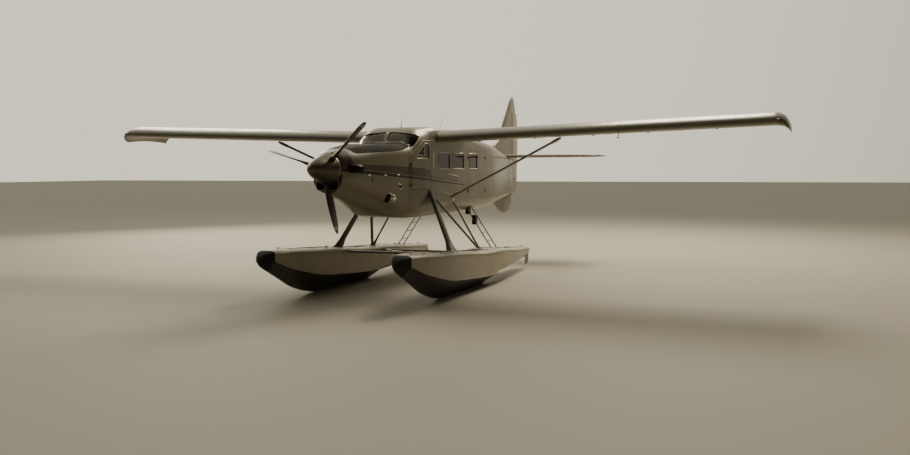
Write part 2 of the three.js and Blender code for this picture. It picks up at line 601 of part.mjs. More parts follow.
// Propeller: three feathered blades and the shaft in one piece, under a spinner
function blade(angle, grow) {
  const [out, across] = [at(Math.cos(angle), 0, Math.sin(angle)), at(-Math.sin(angle), 0, Math.cos(angle))];
  return loft(BLADE_SECTIONS.map(([radius, chord, thick, twist]) => {
    const [c, s] = [Math.cos(radians(twist)), Math.sin(radians(twist))];
    const centre = at(0, PROPELLER_Y, SHAFT_Z).addScaledVector(out, radius);
    const long = at(0, c, 0).addScaledVector(across, s).multiplyScalar(chord / 2 + grow);
    const short = at(0, -s, 0).addScaledVector(across, c).multiplyScalar(thick / 2 + grow);
    return ovalRing(centre, long, short);
  }));
}
const onShaft = (y0, y1, radius) => rod([0, y0, SHAFT_Z], [0, y1, SHAFT_Z], radius, 20);
const hub = (grow) => onShaft(PROPELLER_Y - HUB.halfLength, ENGINE.front - SEAT_GAP, SHAFT_RADIUS + grow)
  .add(onShaft(PROPELLER_Y - HUB.halfLength, PROPELLER_Y + HUB.halfLength, HUB.radius + grow));
const blades = (grow) => joined([hub(grow), ...BLADE_ANGLES.map((angle) => blade(radians(angle), grow))]);
const spinnerRows = [...SPINNER_PROFILE, [SPINNER_BACK_Y, 0]];
const spinnerOutline = spinnerRows.map(([y, radius]) => new THREE.Vector2(radius, y));
const spinnerShape = solid(new THREE.LatheGeometry(spinnerOutline, 24).translate(0, 0, SHAFT_Z));
place('propeller_blades', blades(0), BLADE_BLACK, [0, PROPELLER_Y, SHAFT_Z]);
place('spinner', spinnerShape.subtract(blades(SEAT_GAP * 2)), POLISHED, [0, PROPELLER_Y, SHAFT_Z]);

// Wing panels with their hinged surfaces
function airfoil(share) {
  const { thickness, camber, camberAt } = AIRFOIL;
  const half = 5 * thickness * (0.2969 * Math.sqrt(share) - 0.126 * share - 0.3516 * share ** 2
    + 0.2843 * share ** 3 - 0.1036 * share ** 4) + 0.002 * share;
  const reach = share < camberAt ? camberAt : 1 - camberAt;
  const rise = 2 * camberAt * share - share ** 2;
  const line = share < camberAt ? rise : 1 - 2 * camberAt + rise;
  return [half, (camber / reach ** 2) * line];
}

function wingRing(side, [x, lead, scale, droop]) {
  const chord = CHORD - lead;
  const last = AIRFOIL.steps - 1;
  const shares = Array.from({ length: AIRFOIL.steps }, (_, i) => (1 - Math.cos((Math.PI * i) / last)) / 2);
  const point = (share, way) => {
    const [half, line] = airfoil(share);
    return at(side * x, lead + share * chord, CHORD * (line + way * half * scale) - droop);
  };
  const underside = shares.slice(1).reverse().map((share) => point(share, -1));
  return [...shares.map((share) => point(share, 1)), ...underside];
}

// Raises a panel drawn level to its dihedral
function raise(body, side) {
  const shear = new THREE.Matrix4().makeShear(0, Math.tan(DIHEDRAL) * side, 0, 0, 0, 0);
  const root = side * ROOT_X;
  return solid(geometryOf(body).translate(-root, 0, 0).applyMatrix4(shear).translate(root, 0, 0));
}

function coveShape(down, travelUp) {
  const { y, z, coveRadius } = SURFACE_HINGE;
  const shape = new THREE.Shape();
  const [first, last] = [90 + travelUp, 270 - down];
  const turned = (angle) => [Math.cos(radians(angle)), Math.sin(radians(angle))];
  const tangent = (angle, way) => [turned(angle)[1] * way, -turned(angle)[0] * way];
  const rim = (angle) => [y + coveRadius * turned(angle)[0], z + coveRadius * turned(angle)[1]];
  const [topStart, topWay] = [rim(first), tangent(first, 1)];
  const [lowStart, lowWay] = [rim(last), tangent(last, -1)];
  shape.moveTo(y + 900, z + 500);
  shape.lineTo(topStart[0] + topWay[0] * 400, topStart[1] + topWay[1] * 400);
  shape.absarc(y, z, coveRadius, radians(first), radians(last), false);
  shape.lineTo(lowStart[0] + lowWay[0] * 400, lowStart[1] + lowWay[1] * 400);
  shape.lineTo(y + 900, z - 500);
  return shape;
}

// Columns: name, span, travel down, travel up
const SURFACES = [
  ['flap', FLAP_SPAN, FLAP_DOWN, 0],
  ['aileron', AILERON_SPAN, AILERON_TRAVEL, AILERON_TRAVEL],
];
for (const [label, side] of SIDES) {
  const panel = loft(WING_SECTIONS.map((row) => wingRing(side, row)));
  const behindRib = (x0, x1, y0) => block(side * x0, side * x1, y0, CHORD + 50, -500, 800);
  let wing = panel.subtract(behindRib(FLAP_SPAN[1], AILERON_SPAN[0], SURFACE_HINGE.y + HINGE_RIB_AFT));
  for (const [name, [inner, outer], down, travelUp] of SURFACES) {
    const { y, z, noseRadius } = SURFACE_HINGE;
    wing = wing.subtract(alongX(coveShape(down, travelUp), side * inner, side * outer));
    const spanRod = (ends, radius, sides) => rod(
      [side * (inner + ends), y, z], [side * (outer - ends), y, z], radius, sides);
    const behind = behindRib(inner + END_GAP, outer - END_GAP, y);
    const nose = spanRod(END_GAP, noseRadius, 28);
    const pin = spanRod(PIN_GAP, PIN_RADIUS, 12);
    const surface = panel.intersect(behind.add(nose)).add(pin);
    const hingeHeight = z + (inner - ROOT_X) * Math.tan(DIHEDRAL);
    place(`${name}_${label}`, raise(surface, side), CREAM, [side * inner, y, hingeHeight]);
  }
  const raised = raise(wing, side);
  place(`wing_${label}`, raised, CREAM);
  const { bottom, top, chord, thick } = WING_STRUT;
  const ends = [-0.02, 1.02].map((share) => bottom.map((value, i) => value + (top[i] - value) * share));
  const [long, short] = [at(0, chord / 2, 0), at(0, 0, thick / 2)];
  const strut = loft(ends.map(([x, y, z]) => ovalRing(at(side * x, y, z), long, short, 14)));
  place(`wing_strut_${label}`, strut.subtract(hullClear).subtract(shifted(raised, 0, 0, -SEAT_GAP)), CREAM);
}

// Floats with their bumpers, spreader bars, struts, water rudders and boarding ladders
function floatRing(side, [y, half, deck, chine, keel]) {
  const gunwale = [[half, deck - 70], [half * 0.84, deck - 22], [half * 0.45, deck]];
  const halfSection = [[KEEL_HALF_WIDTH, keel], [half, chine], ...gunwale];
  const outline = [...halfSection, ...halfSection.map(([x, z]) => [-x, z]).reverse()];
  return outline.map(([x, z]) => at(side * FLOAT_X + x, y, z));
}

const floatBodies = SIDES.map(([, side]) => loft(FLOAT_SECTIONS.map((row) => floatRing(side, row))));
for (const [index, [label, side]] of SIDES.entries()) {
  const hullFloat = floatBodies[index];
  const middle = side * FLOAT_X;
  const { pinY, lugHalf } = WATER_RUDDER;
  const lugs = WATER_RUDDER.lugs.map(([low, high]) => block(
    middle - lugHalf, middle + lugHalf, pinY - 82, pinY + 12, low, high));
  place(`float_${label}`, joined([hullFloat, ...lugs]), FLOAT_PAINT);
  place(`float_bumper_${label}`, loft(BUMPER_SECTIONS.map((row) => floatRing(side, row))), RUBBER);

  const [[, lugTop], [upperLug]] = WATER_RUDDER.lugs;
  const bladeHalf = WATER_RUDDER.thick / 2;
  const post = rod([middle, pinY, lugTop + SEAT_GAP], [middle, pinY, upperLug - SEAT_GAP], WATER_RUDDER.post);
  const web = block(middle - bladeHalf, middle + bladeHalf, pinY, pinY + 58, lugTop + 10, upperLug - 10);
  const paddle = alongX(WATER_RUDDER_BLADE, middle - bladeHalf, middle + bladeHalf);
  place(`water_rudder_${label}`, joined([post, web, paddle]), METAL, [middle, pinY, 0]);

  const floatAbove = shifted(hullFloat, 0, 0, SEAT_GAP);
  const legs = FLOAT_STRUTS.map(({ from, to, chord, thick }) => {
    const top = from.map((value, i) => value - (to[i] - value) * 0.05);
    const [long, short] = [at(0, chord / 2, 0), at(thick / 2, 0, 0)];
    return loft([top, to].map(([x, y, z]) => ovalRing(at(side * x, y, z), long, short)));
  });
  const feet = FLOAT_STRUTS.filter(({ deck }) => deck).map(({ to: [x, y], chord, deck }) => {
    const { halfWidth, reach, below, above } = STRUT_FOOT;
    const half = chord / 2 + reach;
    return block(side * (x - halfWidth), side * (x + halfWidth), y - half, y + half, deck - below, deck + above);
  });
  const strutSet = joined([...legs, ...feet]).subtract(hullClear).subtract(floatAbove);
  place(`float_struts_${label}`, strutSet, FLOAT_PAINT);

  const railAt = (share) => [0, 1].map((i) => LADDER.top[i] + (LADDER.foot[i] - LADDER.top[i]) * share);
  const rails = LADDER.railY.map((y) => {
    const [[x0, z0], [x1, z1]] = [railAt(0), railAt(1)];
    return rod([side * x0, y, z0], [side * x1, y, z1], LADDER.radius);
  });
  const rungs = LADDER.rungs.map((share) => {
    const [x, z] = railAt(share);
    return rod([side * x, LADDER.railY[0], z], [side * x, LADDER.railY[1], z], LADDER.radius * 0.75);
  });
  place(`ladder_${label}`, joined([...rails, ...rungs]).subtract(hullClear).subtract(floatAbove), METAL);
}

const floatsInward = SIDES.map(([, side], index) => shifted(floatBodies[index], -side * SEAT_GAP, 0, 0));
for (const name of ['front', 'rear']) {
  const { chord, thick } = SPREADER_BARS;
  const rings = [-FLOAT_X, FLOAT_X].map((x) => ovalRing(
    at(x, ...SPREADER_BARS[name]), at(0, chord / 2, 0), at(0, 0, thick / 2), 14));
  place(`spreader_bar_${name}`, loft(rings).subtract(joined(floatsInward)), FLOAT_PAINT);
}

// Seats, panel and controls that show through the glass
function seat(x0, x1, y, cushionZ, backTop) {
  const legs = [x0 + 60, x1 - 60].flatMap((x) => [y + 60, y + 400].map((legY) => rod(
    [x, legY, FLOOR_TOP + SEAT_GAP], [x, legY, cushionZ - 60], 16, 8)));
  const cushion = alongY(roundedShape(x0, x1, cushionZ - 110, cushionZ, 40), y, y + 480);
  const back = alongX([
    [y + 430, cushionZ - 60], [y + 520, cushionZ - 60],
    [y + 620, backTop], [y + 560, backTop + 20],
  ], x0, x1);
  return joined([...legs, cushion, back]);
}

for (const [label, side] of SIDES) {
  const { x, y, cushion, backTop } = PILOT_SEAT;
  const pilotSeat = seat(side * x - SEAT_HALF, side * x + SEAT_HALF, y, cushion, backTop);
  place(`pilot_seat_${label}`, pilotSeat, SEAT_CLOTH);
}
for (const [row, y] of BENCH.rows) {
  place(`cabin_seats_${row}`, seat(-BENCH.half, BENCH.half, y, BENCH.cushion, BENCH.backTop), SEAT_CLOTH);
}

place('instrument_panel', cabinSpace(SEAT_GAP).intersect(block(-1500, 1500, -1130, -1030, -760, -300)), TRIM);
function onWheel(degrees) {
  const angle = radians(degrees);
  return [WHEEL.x + WHEEL.across * Math.cos(angle), WHEEL.y, WHEEL.z + WHEEL.high * Math.sin(angle)];
}

place('control_column', joined([
  block(-70, 70, WHEEL.y, WHEEL.y + 140, FLOOR_TOP + SEAT_GAP, FLOOR_TOP + 45),
  rod([0, WHEEL.y + 70, FLOOR_TOP + 30], [0, WHEEL.y - 10, WHEEL.z - 60], 28),
  rod([0, WHEEL.y - 10, WHEEL.z - 80], [WHEEL.x, WHEEL.y, WHEEL.z - 40], 20),
  rod([WHEEL.x, WHEEL.y, WHEEL.z - 40], [WHEEL.x, WHEEL.y, WHEEL.z - 125], 18),
  ...[150, 198, 246, 294, 342].map((start) => rod(onWheel(start), onWheel(start + 48), WHEEL.tube, 8)),
]), TRIM);

export default parts;
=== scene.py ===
# Floatplane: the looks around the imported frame, in the order in which the aircraft is put together.
# Tables are in millimetres from the wing's leading edge at the root, as the part's own are, and to_frame()
# lifts them onto the floor; everything else is in metres, +Z up, nose towards -Y, port side towards +X.
import itertools
import math

import bmesh
import bpy
import numpy as np
from mathutils import Matrix, Vector


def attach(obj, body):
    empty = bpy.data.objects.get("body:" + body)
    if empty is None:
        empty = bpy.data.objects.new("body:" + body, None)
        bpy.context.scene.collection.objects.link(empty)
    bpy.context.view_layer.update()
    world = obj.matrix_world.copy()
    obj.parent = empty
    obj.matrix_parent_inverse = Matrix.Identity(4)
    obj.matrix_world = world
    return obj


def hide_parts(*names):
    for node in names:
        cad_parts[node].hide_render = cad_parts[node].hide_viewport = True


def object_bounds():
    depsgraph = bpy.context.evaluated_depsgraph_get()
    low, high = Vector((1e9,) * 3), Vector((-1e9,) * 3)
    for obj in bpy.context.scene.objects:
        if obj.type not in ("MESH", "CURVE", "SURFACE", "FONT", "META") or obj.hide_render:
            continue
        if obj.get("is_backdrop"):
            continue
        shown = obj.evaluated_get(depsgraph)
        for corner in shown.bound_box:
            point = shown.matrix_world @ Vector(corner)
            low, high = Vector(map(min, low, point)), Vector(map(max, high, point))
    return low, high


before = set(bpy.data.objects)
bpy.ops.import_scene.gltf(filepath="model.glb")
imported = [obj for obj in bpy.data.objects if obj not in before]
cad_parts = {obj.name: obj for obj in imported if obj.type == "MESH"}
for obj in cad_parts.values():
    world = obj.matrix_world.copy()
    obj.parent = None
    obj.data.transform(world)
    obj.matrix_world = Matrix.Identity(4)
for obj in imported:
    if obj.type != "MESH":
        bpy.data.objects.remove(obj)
cad_low, cad_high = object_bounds()

# Camera, floor and studio lights
# The camera stands where the photographer stood, ahead of the port float and a man's height above the floats.
# The floor is one pale sheet at the keels. Wide soft boxes light the aircraft from behind and in front.
CAMERA_PLACE = (9.14, -22.195, 2.90)
CAMERA_YAW, CAMERA_PITCH, CAMERA_ROLL = 21.48, -3.83, -0.18
CAMERA_LENS = 35.18
FLOOR_HALF = 160
FLOOR_COLOUR = (0.45, 0.42, 0.35, 1)
SKY_COLOUR = (1.0, 0.93, 0.74, 1)
SKY_AHEAD, SKY_BEHIND, SKY_BRIGHT = 0.05, 1.05, (-0.72, 0.66, 0.22)
# Columns: name, place, aimed at, size, power, colour
SOFT_BOXES = [
    ("key", (4, 14, 17), (0, 0, 1.5), 8, 4200, (1.0, 0.89, 0.68)),
    ("rim", (-17, 12, 10), (0, 1, 2.0), 9, 2000, (1.0, 0.91, 0.74)),
    ("fill", (15, -26, 15), (0, 0, 2.0), 14, 110, (1.0, 0.95, 0.86)),
]


def add(tree, kind, inputs=None, **settings):
    """A node of a shader or geometry tree, its settings and inputs filled in; gives its outputs."""
    node = tree.nodes.new(kind)
    for key, value in settings.items():
        setattr(node, key, value)
    for key, value in (inputs or {}).items():
        if isinstance(value, bpy.types.NodeSocket):
            tree.links.new(value, node.inputs[key])
        else:
            node.inputs[key].default_value = value
    return node.outputs


def new_material(name):
    """An empty node material with its output; gives the material and its tree."""
    material = bpy.data.materials.new(name)
    material.use_nodes = True
    material.node_tree.nodes.clear()
    return material, material.node_tree


def surface(tree, inputs):
    """Closes a material: one principled shader with these inputs."""
    shader = add(tree, "ShaderNodeBsdfPrincipled", inputs)
    add(tree, "ShaderNodeOutputMaterial", {"Surface": shader[0]})


def ranged(tree, value, low, high, first=0.0, last=1.0, **settings):
    """A value's run from first to last carried over to the run from low to high."""
    sizes = {"Value": value, "From Min": first, "From Max": last, "To Min": low, "To Max": high}
    return add(tree, "ShaderNodeMapRange", sizes, **settings)[0]


def place_camera():
    yaw, pitch, roll = (math.radians(angle) for angle in (CAMERA_YAW, CAMERA_PITCH, CAMERA_ROLL))
    ahead = Vector((-math.sin(yaw) * math.cos(pitch), math.cos(yaw) * math.cos(pitch), math.sin(pitch)))
    right = Vector((math.cos(yaw), math.sin(yaw), 0))
    over = right.cross(ahead)
    across = right * math.cos(roll) + over * math.sin(roll)
    upward = over * math.cos(roll) - right * math.sin(roll)
    data = bpy.data.cameras.new("camera")
    data.sensor_width, data.lens, data.clip_end = 36, CAMERA_LENS, 1000
    camera = bpy.data.objects.new("camera", data)
    turn = Matrix((across, upward, -ahead)).transposed().to_4x4()
    camera.matrix_world = Matrix.Translation(CAMERA_PLACE) @ turn
    bpy.context.scene.collection.objects.link(camera)
    bpy.context.scene.camera = camera


def place_studio():
    floor_mesh = bpy.data.meshes.new("floor")
    edge = [(x * FLOOR_HALF, y * FLOOR_HALF, 0) for x, y in ((-1, -1), (1, -1), (1, 1), (-1, 1))]
    floor_mesh.from_pydata(edge, [], [(0, 1, 2, 3)])
    floor = bpy.data.objects.new("floor", floor_mesh)
    bpy.context.scene.collection.objects.link(floor)
    material, tree = new_material("pale_floor")
    surface(tree, {"Base Color": FLOOR_COLOUR, "Roughness": 0.75})
    floor_mesh.materials.append(material)
    floor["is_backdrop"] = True
    for name, at, aim, size, power, colour in SOFT_BOXES:
        data = bpy.data.lights.new(name, "AREA")
        data.size, data.energy, data.color = size, power, colour
        lamp = bpy.data.objects.new(name, data)
        lamp.location = at
        lamp.rotation_euler = (Vector(aim) - Vector(at)).to_track_quat("-Z", "Y").to_euler()
        bpy.context.scene.collection.objects.link(lamp)
    world = bpy.data.worlds.new("soft_sky")
    world.use_nodes = True
    background = world.node_tree.nodes["Background"]
    background.inputs["Color"].default_value = SKY_COLOUR
    way = add(world.node_tree, "ShaderNodeTexCoord")["Generated"]
    behind = add(world.node_tree, "ShaderNodeVectorMath", {0: way, 1: SKY_BRIGHT},
                 operation="DOT_PRODUCT")["Value"]
    glow = ranged(world.node_tree, behind, SKY_AHEAD, SKY_BEHIND, 0.0, 0.9, interpolation_type="SMOOTHSTEP")
    world.node_tree.links.new(glow, background.inputs["Strength"])
    bpy.context.scene.world = world


place_camera()
place_studio()

# Fuselage skin
# Riveted aluminium sheet over frames, painted cream, with a brown band and a black line along each side.
# Cabin, windshield frame and tail cone are one stiff shell, with doors and windows cut out of it.
MIDDLE_Y, KEEL_DEPTH = 2275, 3600
FIREWALL_Y, CABIN_REAR_Y, TAIL_POST_Y = -1450, 4300, 8371
# The skin's depth, the gap at seated pieces, and the spacing of the sections
WALL, SEAT_GAP, SECTION_STEP = 45, 0.3, 140
FLOOR_TOP, CEILING, CEILING_START_Y = -1620, -60, -60
# Columns: y, half width, bottom, top, bottom corner radius, top corner radius
HULL_SECTIONS = [
    (FIREWALL_Y, 730, -1830, -150, 330, 280),
    (-1250, 760, -1850, -130, 330, 280),
    (-940, 782, -1866, 130, 330, 330),
    (-600, 800, -1870, 268, 330, 400),
    (-60, 800, -1870, 285, 330, 160),
    (1980, 800, -1870, 225, 330, 90),
    (2700, 790, -1865, 150, 330, 200),
    (CABIN_REAR_Y, 740, -1840, 20, 330, 240),
    (6300, 450, -1700, -190, 250, 220),
    (TAIL_POST_Y, 75, -1530, -430, 60, 60),
]
SIDES = (("port", 1), ("starboard", -1))
CREAM, CREAM_WORN = (0.26, 0.233, 0.170, 1), (0.15, 0.132, 0.094, 1)
BROWN, BROWN_WORN = (0.060, 0.042, 0.030, 1), (0.09, 0.065, 0.045, 1)
LINE_BLACK, LINE_WORN = (0.012, 0.010, 0.009, 1), (0.030, 0.026, 0.021, 1)
SEAM_BROWN = (0.10, 0.08, 0.06, 1)
PAINT_COAT = 0.25


def to_frame(x, y, z):
    """A place in the part's millimetres as a point of the frame, in metres."""
    return Vector((x / 1000, (y - MIDDLE_Y) / 1000, (z + KEEL_DEPTH) / 1000))


def from_frame(point):
    """A point of the frame back in the part's millimetres."""
    return point.x * 1000, point.y * 1000 + MIDDLE_Y, point.z * 1000 - KEEL_DEPTH


def between(table, station):
    """A row of a section table at any station: smooth from row to row, and never past their values."""
    rows = np.array(table, float)
    k = int(np.clip(np.searchsorted(rows[:, 0], station) - 1, 0, len(rows) - 2))
    slopes = np.diff(rows, axis=0) / np.diff(rows[:, 0])[:, None]
    product = slopes[:-1] * slopes[1:]
    total = np.where(product > 0, slopes[:-1] + slopes[1:], 1)
    eased = np.vstack([slopes[:1], np.where(product > 0, 2 * product / total, 0), slopes[-1:]])
    reach = rows[k + 1, 0] - rows[k, 0]
    t = (station - rows[k, 0]) / reach
    start, end = rows[k], rows[k + 1]
    return ((1 + 2 * t) * (1 - t) ** 2 * start + t * (1 - t) ** 2 * reach * eased[k]
            + t * t * (3 - 2 * t) * end + t * t * (t - 1) * reach * eased[k + 1])


def stations(first, last, step, *always):
    """Evenly spaced stations with some that must be there."""
    count = max(1, round((last - first) / step))
    every = [first + (last - first) * i / count for i in range(count + 1)]
    kept = [y for y in every if all(abs(y - fixed) > step * 0.25 for fixed in always)]
    return sorted({*kept, *always, first, last})


def rounded_box(y, half, bottom, top, corner_low, corner_high, depth=0, steps=8, flats=6):
    """One section of the skin, a depth under it: four arcs joined by divided flats."""
    wide, low, high = half - depth, bottom + depth, top - depth
    small, large = max(corner_low - depth, 5), max(corner_high - depth, 5)
    arcs = [(wide - small, low + small, small, -90), (wide - large, high - large, large, 0),
            (large - wide, high - large, large, 90), (small - wide, low + small, small, 180)]
    turned = []
    for x, z, r, start in arcs:
        angles = [math.radians(start + 90 * i / steps) for i in range(steps + 1)]
        turned.append([(x + r * math.cos(a), z + r * math.sin(a)) for a in angles])
    points = []
    for arc, following in zip(turned, turned[1:] + turned[:1]):
        points += arc
        (x0, z0), (x1, z1) = arc[-1], following[0]
        points += [(x0 + (x1 - x0) * i / flats, z0 + (z1 - z0) * i / flats) for i in range(1, flats)]
    return [to_frame(x, y, z) for x, z in points]


def new_piece(mesh):
    piece = bpy.data.objects.new("piece", mesh)
    bpy.context.scene.collection.objects.link(piece)
    return piece


def built(build):
    """A piece of what has been built so far."""
    mesh = bpy.data.meshes.new("piece")
    build.to_mesh(mesh)
    build.free()
    return new_piece(mesh)


def skin(rings, seam=1e-5):
    """A closed body over rings of points, its ends closed flat."""
    build = bmesh.new()
    rows = [[build.verts.new(point) for point in ring] for ring in rings]
    count = len(rows[0])
    for near, far in zip(rows, rows[1:]):
        for i in range(count):
            j = (i + 1) % count
            build.faces.new((near[i], near[j], far[j], far[i]))
    build.faces.new(rows[0][::-1])
    build.faces.new(rows[-1])
    bmesh.ops.remove_doubles(build, verts=build.verts, dist=seam)
    bmesh.ops.recalc_face_normals(build, faces=build.faces)
    return built(build)


def settle(piece):
    """Turns a piece's modifiers into its plain mesh."""
    bpy.context.view_layer.update()
    solved = bpy.data.meshes.new_from_object(piece.evaluated_get(bpy.context.evaluated_depsgraph_get()))
    piece.modifiers.clear()
    piece.data = solved
    return piece


def carve(piece, operation, *tools):
    """Cuts a piece by other bodies, or keeps what they share, and throws the tools away."""
    for tool in tools:
        cut = piece.modifiers.new("cut", "BOOLEAN")
        cut.operation, cut.solver, cut.object = operation, "MANIFOLD", tool
    settle(piece)
    for tool in tools:
        bpy.data.objects.remove(tool)
    return piece


def rounded(outline, radius, steps=6):
    """A polygon's outline with each corner turned into an arc."""
    points = [Vector(point) for point in outline]
    result = []
    for i, corner in enumerate(points):
        before, after = points[i - 1] - corner, points[(i + 1) % len(points)] - corner
        angle = before.angle(after)
        reach = min(radius / math.tan(angle / 2), before.length * 0.45, after.length * 0.45)
        start, end = corner + before.normalized() * reach, corner + after.normalized() * reach
        for step in range(steps + 1):
            t = step / steps
            result.append(tuple(start * (1 - t) ** 2 + corner * 2 * t * (1 - t) + end * t * t))
    return result


def prism(outline, low, high, axis="x"):
    """A body whose outline of y, z points runs along x, or of x, z points along y."""
    rings = [[(c, a, b) if axis == "x" else (a, c, b) for a, b in outline] for c in (low, high)]
    return skin([[to_frame(*place) for place in ring] for ring in rings], seam=1e-7)


def corners(a0, a1, b0, b1):
    return [(a0, b0), (a1, b0), (a1, b1), (a0, b1)]


def box_body(x0, x1, y0, y1, z0, z1):
    return prism(corners(y0, y1, z0, z1), x0, x1)


def dress(name, piece, slot, material, replaces=(), body="airframe", crease=32):
    """Finishes a piece: its name, smooth faces with sharp creases, its material and its body; the slot is not
    used.
    """
    piece.name, mesh = name, piece.data
    mesh.shade_smooth()
    mesh.set_sharp_from_angle(angle=math.radians(crease))
    if not len(mesh.materials):
        mesh.materials.append(material)
    mesh.materials[0] = material
    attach(piece, body)
    if replaces:
        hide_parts(*replaces)


def hull_row(y):
    return between(HULL_SECTIONS, y)


def hull_body(depth=0, first=FIREWALL_Y, last=TAIL_POST_Y):
    fixed = [row[0] for row in HULL_SECTIONS if first < row[0] < last]
    places = stations(first, last, SECTION_STEP, *fixed)
    return skin([rounded_box(*hull_row(y), depth=depth) for y in places])


def cabin_space(clear=0):
    """The room inside the cabin: a flat floor, a flat ceiling behind the windshield, walls under the skin."""
    rings = []
    for y in stations(FIREWALL_Y + 30, CABIN_REAR_Y, SECTION_STEP, CEILING_START_Y - 40, CEILING_START_Y,
                      -1250, -940, -600):
        _, half, _, top, _, corner = hull_row(y)
        cabin = y >= CEILING_START_Y
        high = CEILING if cabin else top - WALL
        corner_radius = 40 if cabin else corner - WALL
        rings.append(rounded_box(y, half - WALL, FLOOR_TOP, high, 20, corner_radius, depth=clear))
    return skin(rings)


def math_of(tree, operation, *values):
    return add(tree, "ShaderNodeMath", dict(enumerate(values)), operation=operation)[0]


def times(tree, one, two):
    return math_of(tree, "MULTIPLY", one, two)


def plus(tree, one, two):
    return math_of(tree, "ADD", one, two)


def less(tree, one, two):
    return math_of(tree, "SUBTRACT", one, two)


def higher(tree, one, two):
    return math_of(tree, "MAXIMUM", one, two)


def above(tree, value, limit, soft=0.0025):
    """1 where a value is over a limit, 0 where it is under, with a soft edge."""
    return ranged(tree, less(tree, value, limit), 0.0, 1.0, -soft, soft)


def mixed(tree, share, one, two):
    return add(tree, "ShaderNodeMix", {0: share, 6: one, 7: two}, data_type="RGBA")[2]


def object_place(tree):
    return add(tree, "ShaderNodeTexCoord")["Object"]


def noise(tree, place, scale, detail=2.0, rough=0.5):
    sizes = {"Vector": place, "Scale": scale, "Detail": detail, "Roughness": rough}
    return add(tree, "ShaderNodeTexNoise", sizes)[0]


def height_along(tree, y, points):
    """A curve's height at a place along the aircraft, through points of y, z in metres."""
    (first, last), heights = (points[0][0], points[-1][0]), [z for _, z in points]
    low, high = min(heights) - 0.01, max(heights) + 0.01
    share = ranged(tree, y, 0.0, 1.0, first, last)
    node = tree.nodes.new("ShaderNodeFloatCurve")
    tree.links.new(share, node.inputs["Value"])
    curve = node.mapping.curves[0]
    for i, (along, height) in enumerate(points):
        place = ((along - first) / (last - first), (height - low) / (high - low))
        if i < 2:
            curve.points[i].location = place
        else:
            curve.points.new(*place)
    node.mapping.update()
    return ranged(tree, node.outputs[0], low, high)


# The band and the lines along each side: y, z in metres on the skin
LINE = [(-3.90, -0.722), (-3.20, -0.790), (-2.27, -0.850), (-0.28, -0.990), (1.94, -1.140)]
LINE_HALF = [(-3.90, 0.030), (-2.03, 0.026), (1.94, 0.015)]
BAND_HIGH = [(-3.60, -0.606), (-3.31, -0.620), (-2.00, -0.650), (-0.28, -0.750), (1.94, -1.085)]
BAND_FRONT, BAND_REAR = -3.555, -0.29
PINSTRIPE = [(-3.60, -0.672), (-3.20, -0.718), (-2.59, -0.777), (-2.00, -0.826), (-0.28, -0.945)]
PINSTRIPE_HALF = 0.007
SECOND_LINE = [(-0.36, -0.900), (1.94, -1.060)]
SECOND_LINE_HALF, SECOND_LINE_END = 0.008, 1.62
# Over this edge the cowl's top is dull black: an anti-glare panel that also stands in for a painted dark
# reflection on its shoulder
GLARE_AND_REFLECTION_EDGE = [(-3.43, -0.350), (-3.33, -0.392), (-3.12, -0.384),
              (-2.58, -0.356), (-1.80, -0.312), (-1.22, -0.190)]
# Ahead of this the cowl's rolled front lip is black: painted shade on its front face
COWL_LIP_SHADE_END = -3.832


def stripe_masks(tree, y, z):
    """Where the brown band, the black lines and the dull black over the cowl's top lie; that black is an
    anti-glare panel and also a painted dark reflection on the cowl's shoulder.
    """
    def off(height):
        return math_of(tree, "ABSOLUTE", less(tree, z, height))

    middle = height_along(tree, y, LINE)
    black = above(tree, height_along(tree, y, LINE_HALF), off(middle))
    black = times(tree, black, above(tree, LINE[-1][0], y))
    second = above(tree, SECOND_LINE_HALF, off(height_along(tree, y, SECOND_LINE)))
    along = times(tree, above(tree, y, SECOND_LINE[0][0]), above(tree, SECOND_LINE_END, y))
    second = times(tree, second, along)
    low = times(tree, above(tree, height_along(tree, y, BAND_HIGH), z), above(tree, BAND_REAR, y))
    low = times(tree, low, above(tree, off(height_along(tree, y, PINSTRIPE)), PINSTRIPE_HALF))
    band = times(tree, above(tree, z, middle), higher(tree, low, above(tree, BAND_FRONT, y)))
    ends = times(tree, above(tree, y, GLARE_AND_REFLECTION_EDGE[0][0]), above(tree, GLARE_AND_REFLECTION_EDGE[-1][0], y))
    glare = times(tree, above(tree, z, height_along(tree, y, GLARE_AND_REFLECTION_EDGE), 0.004), ends)
    return higher(tree, band, glare), higher(tree, black, second), glare


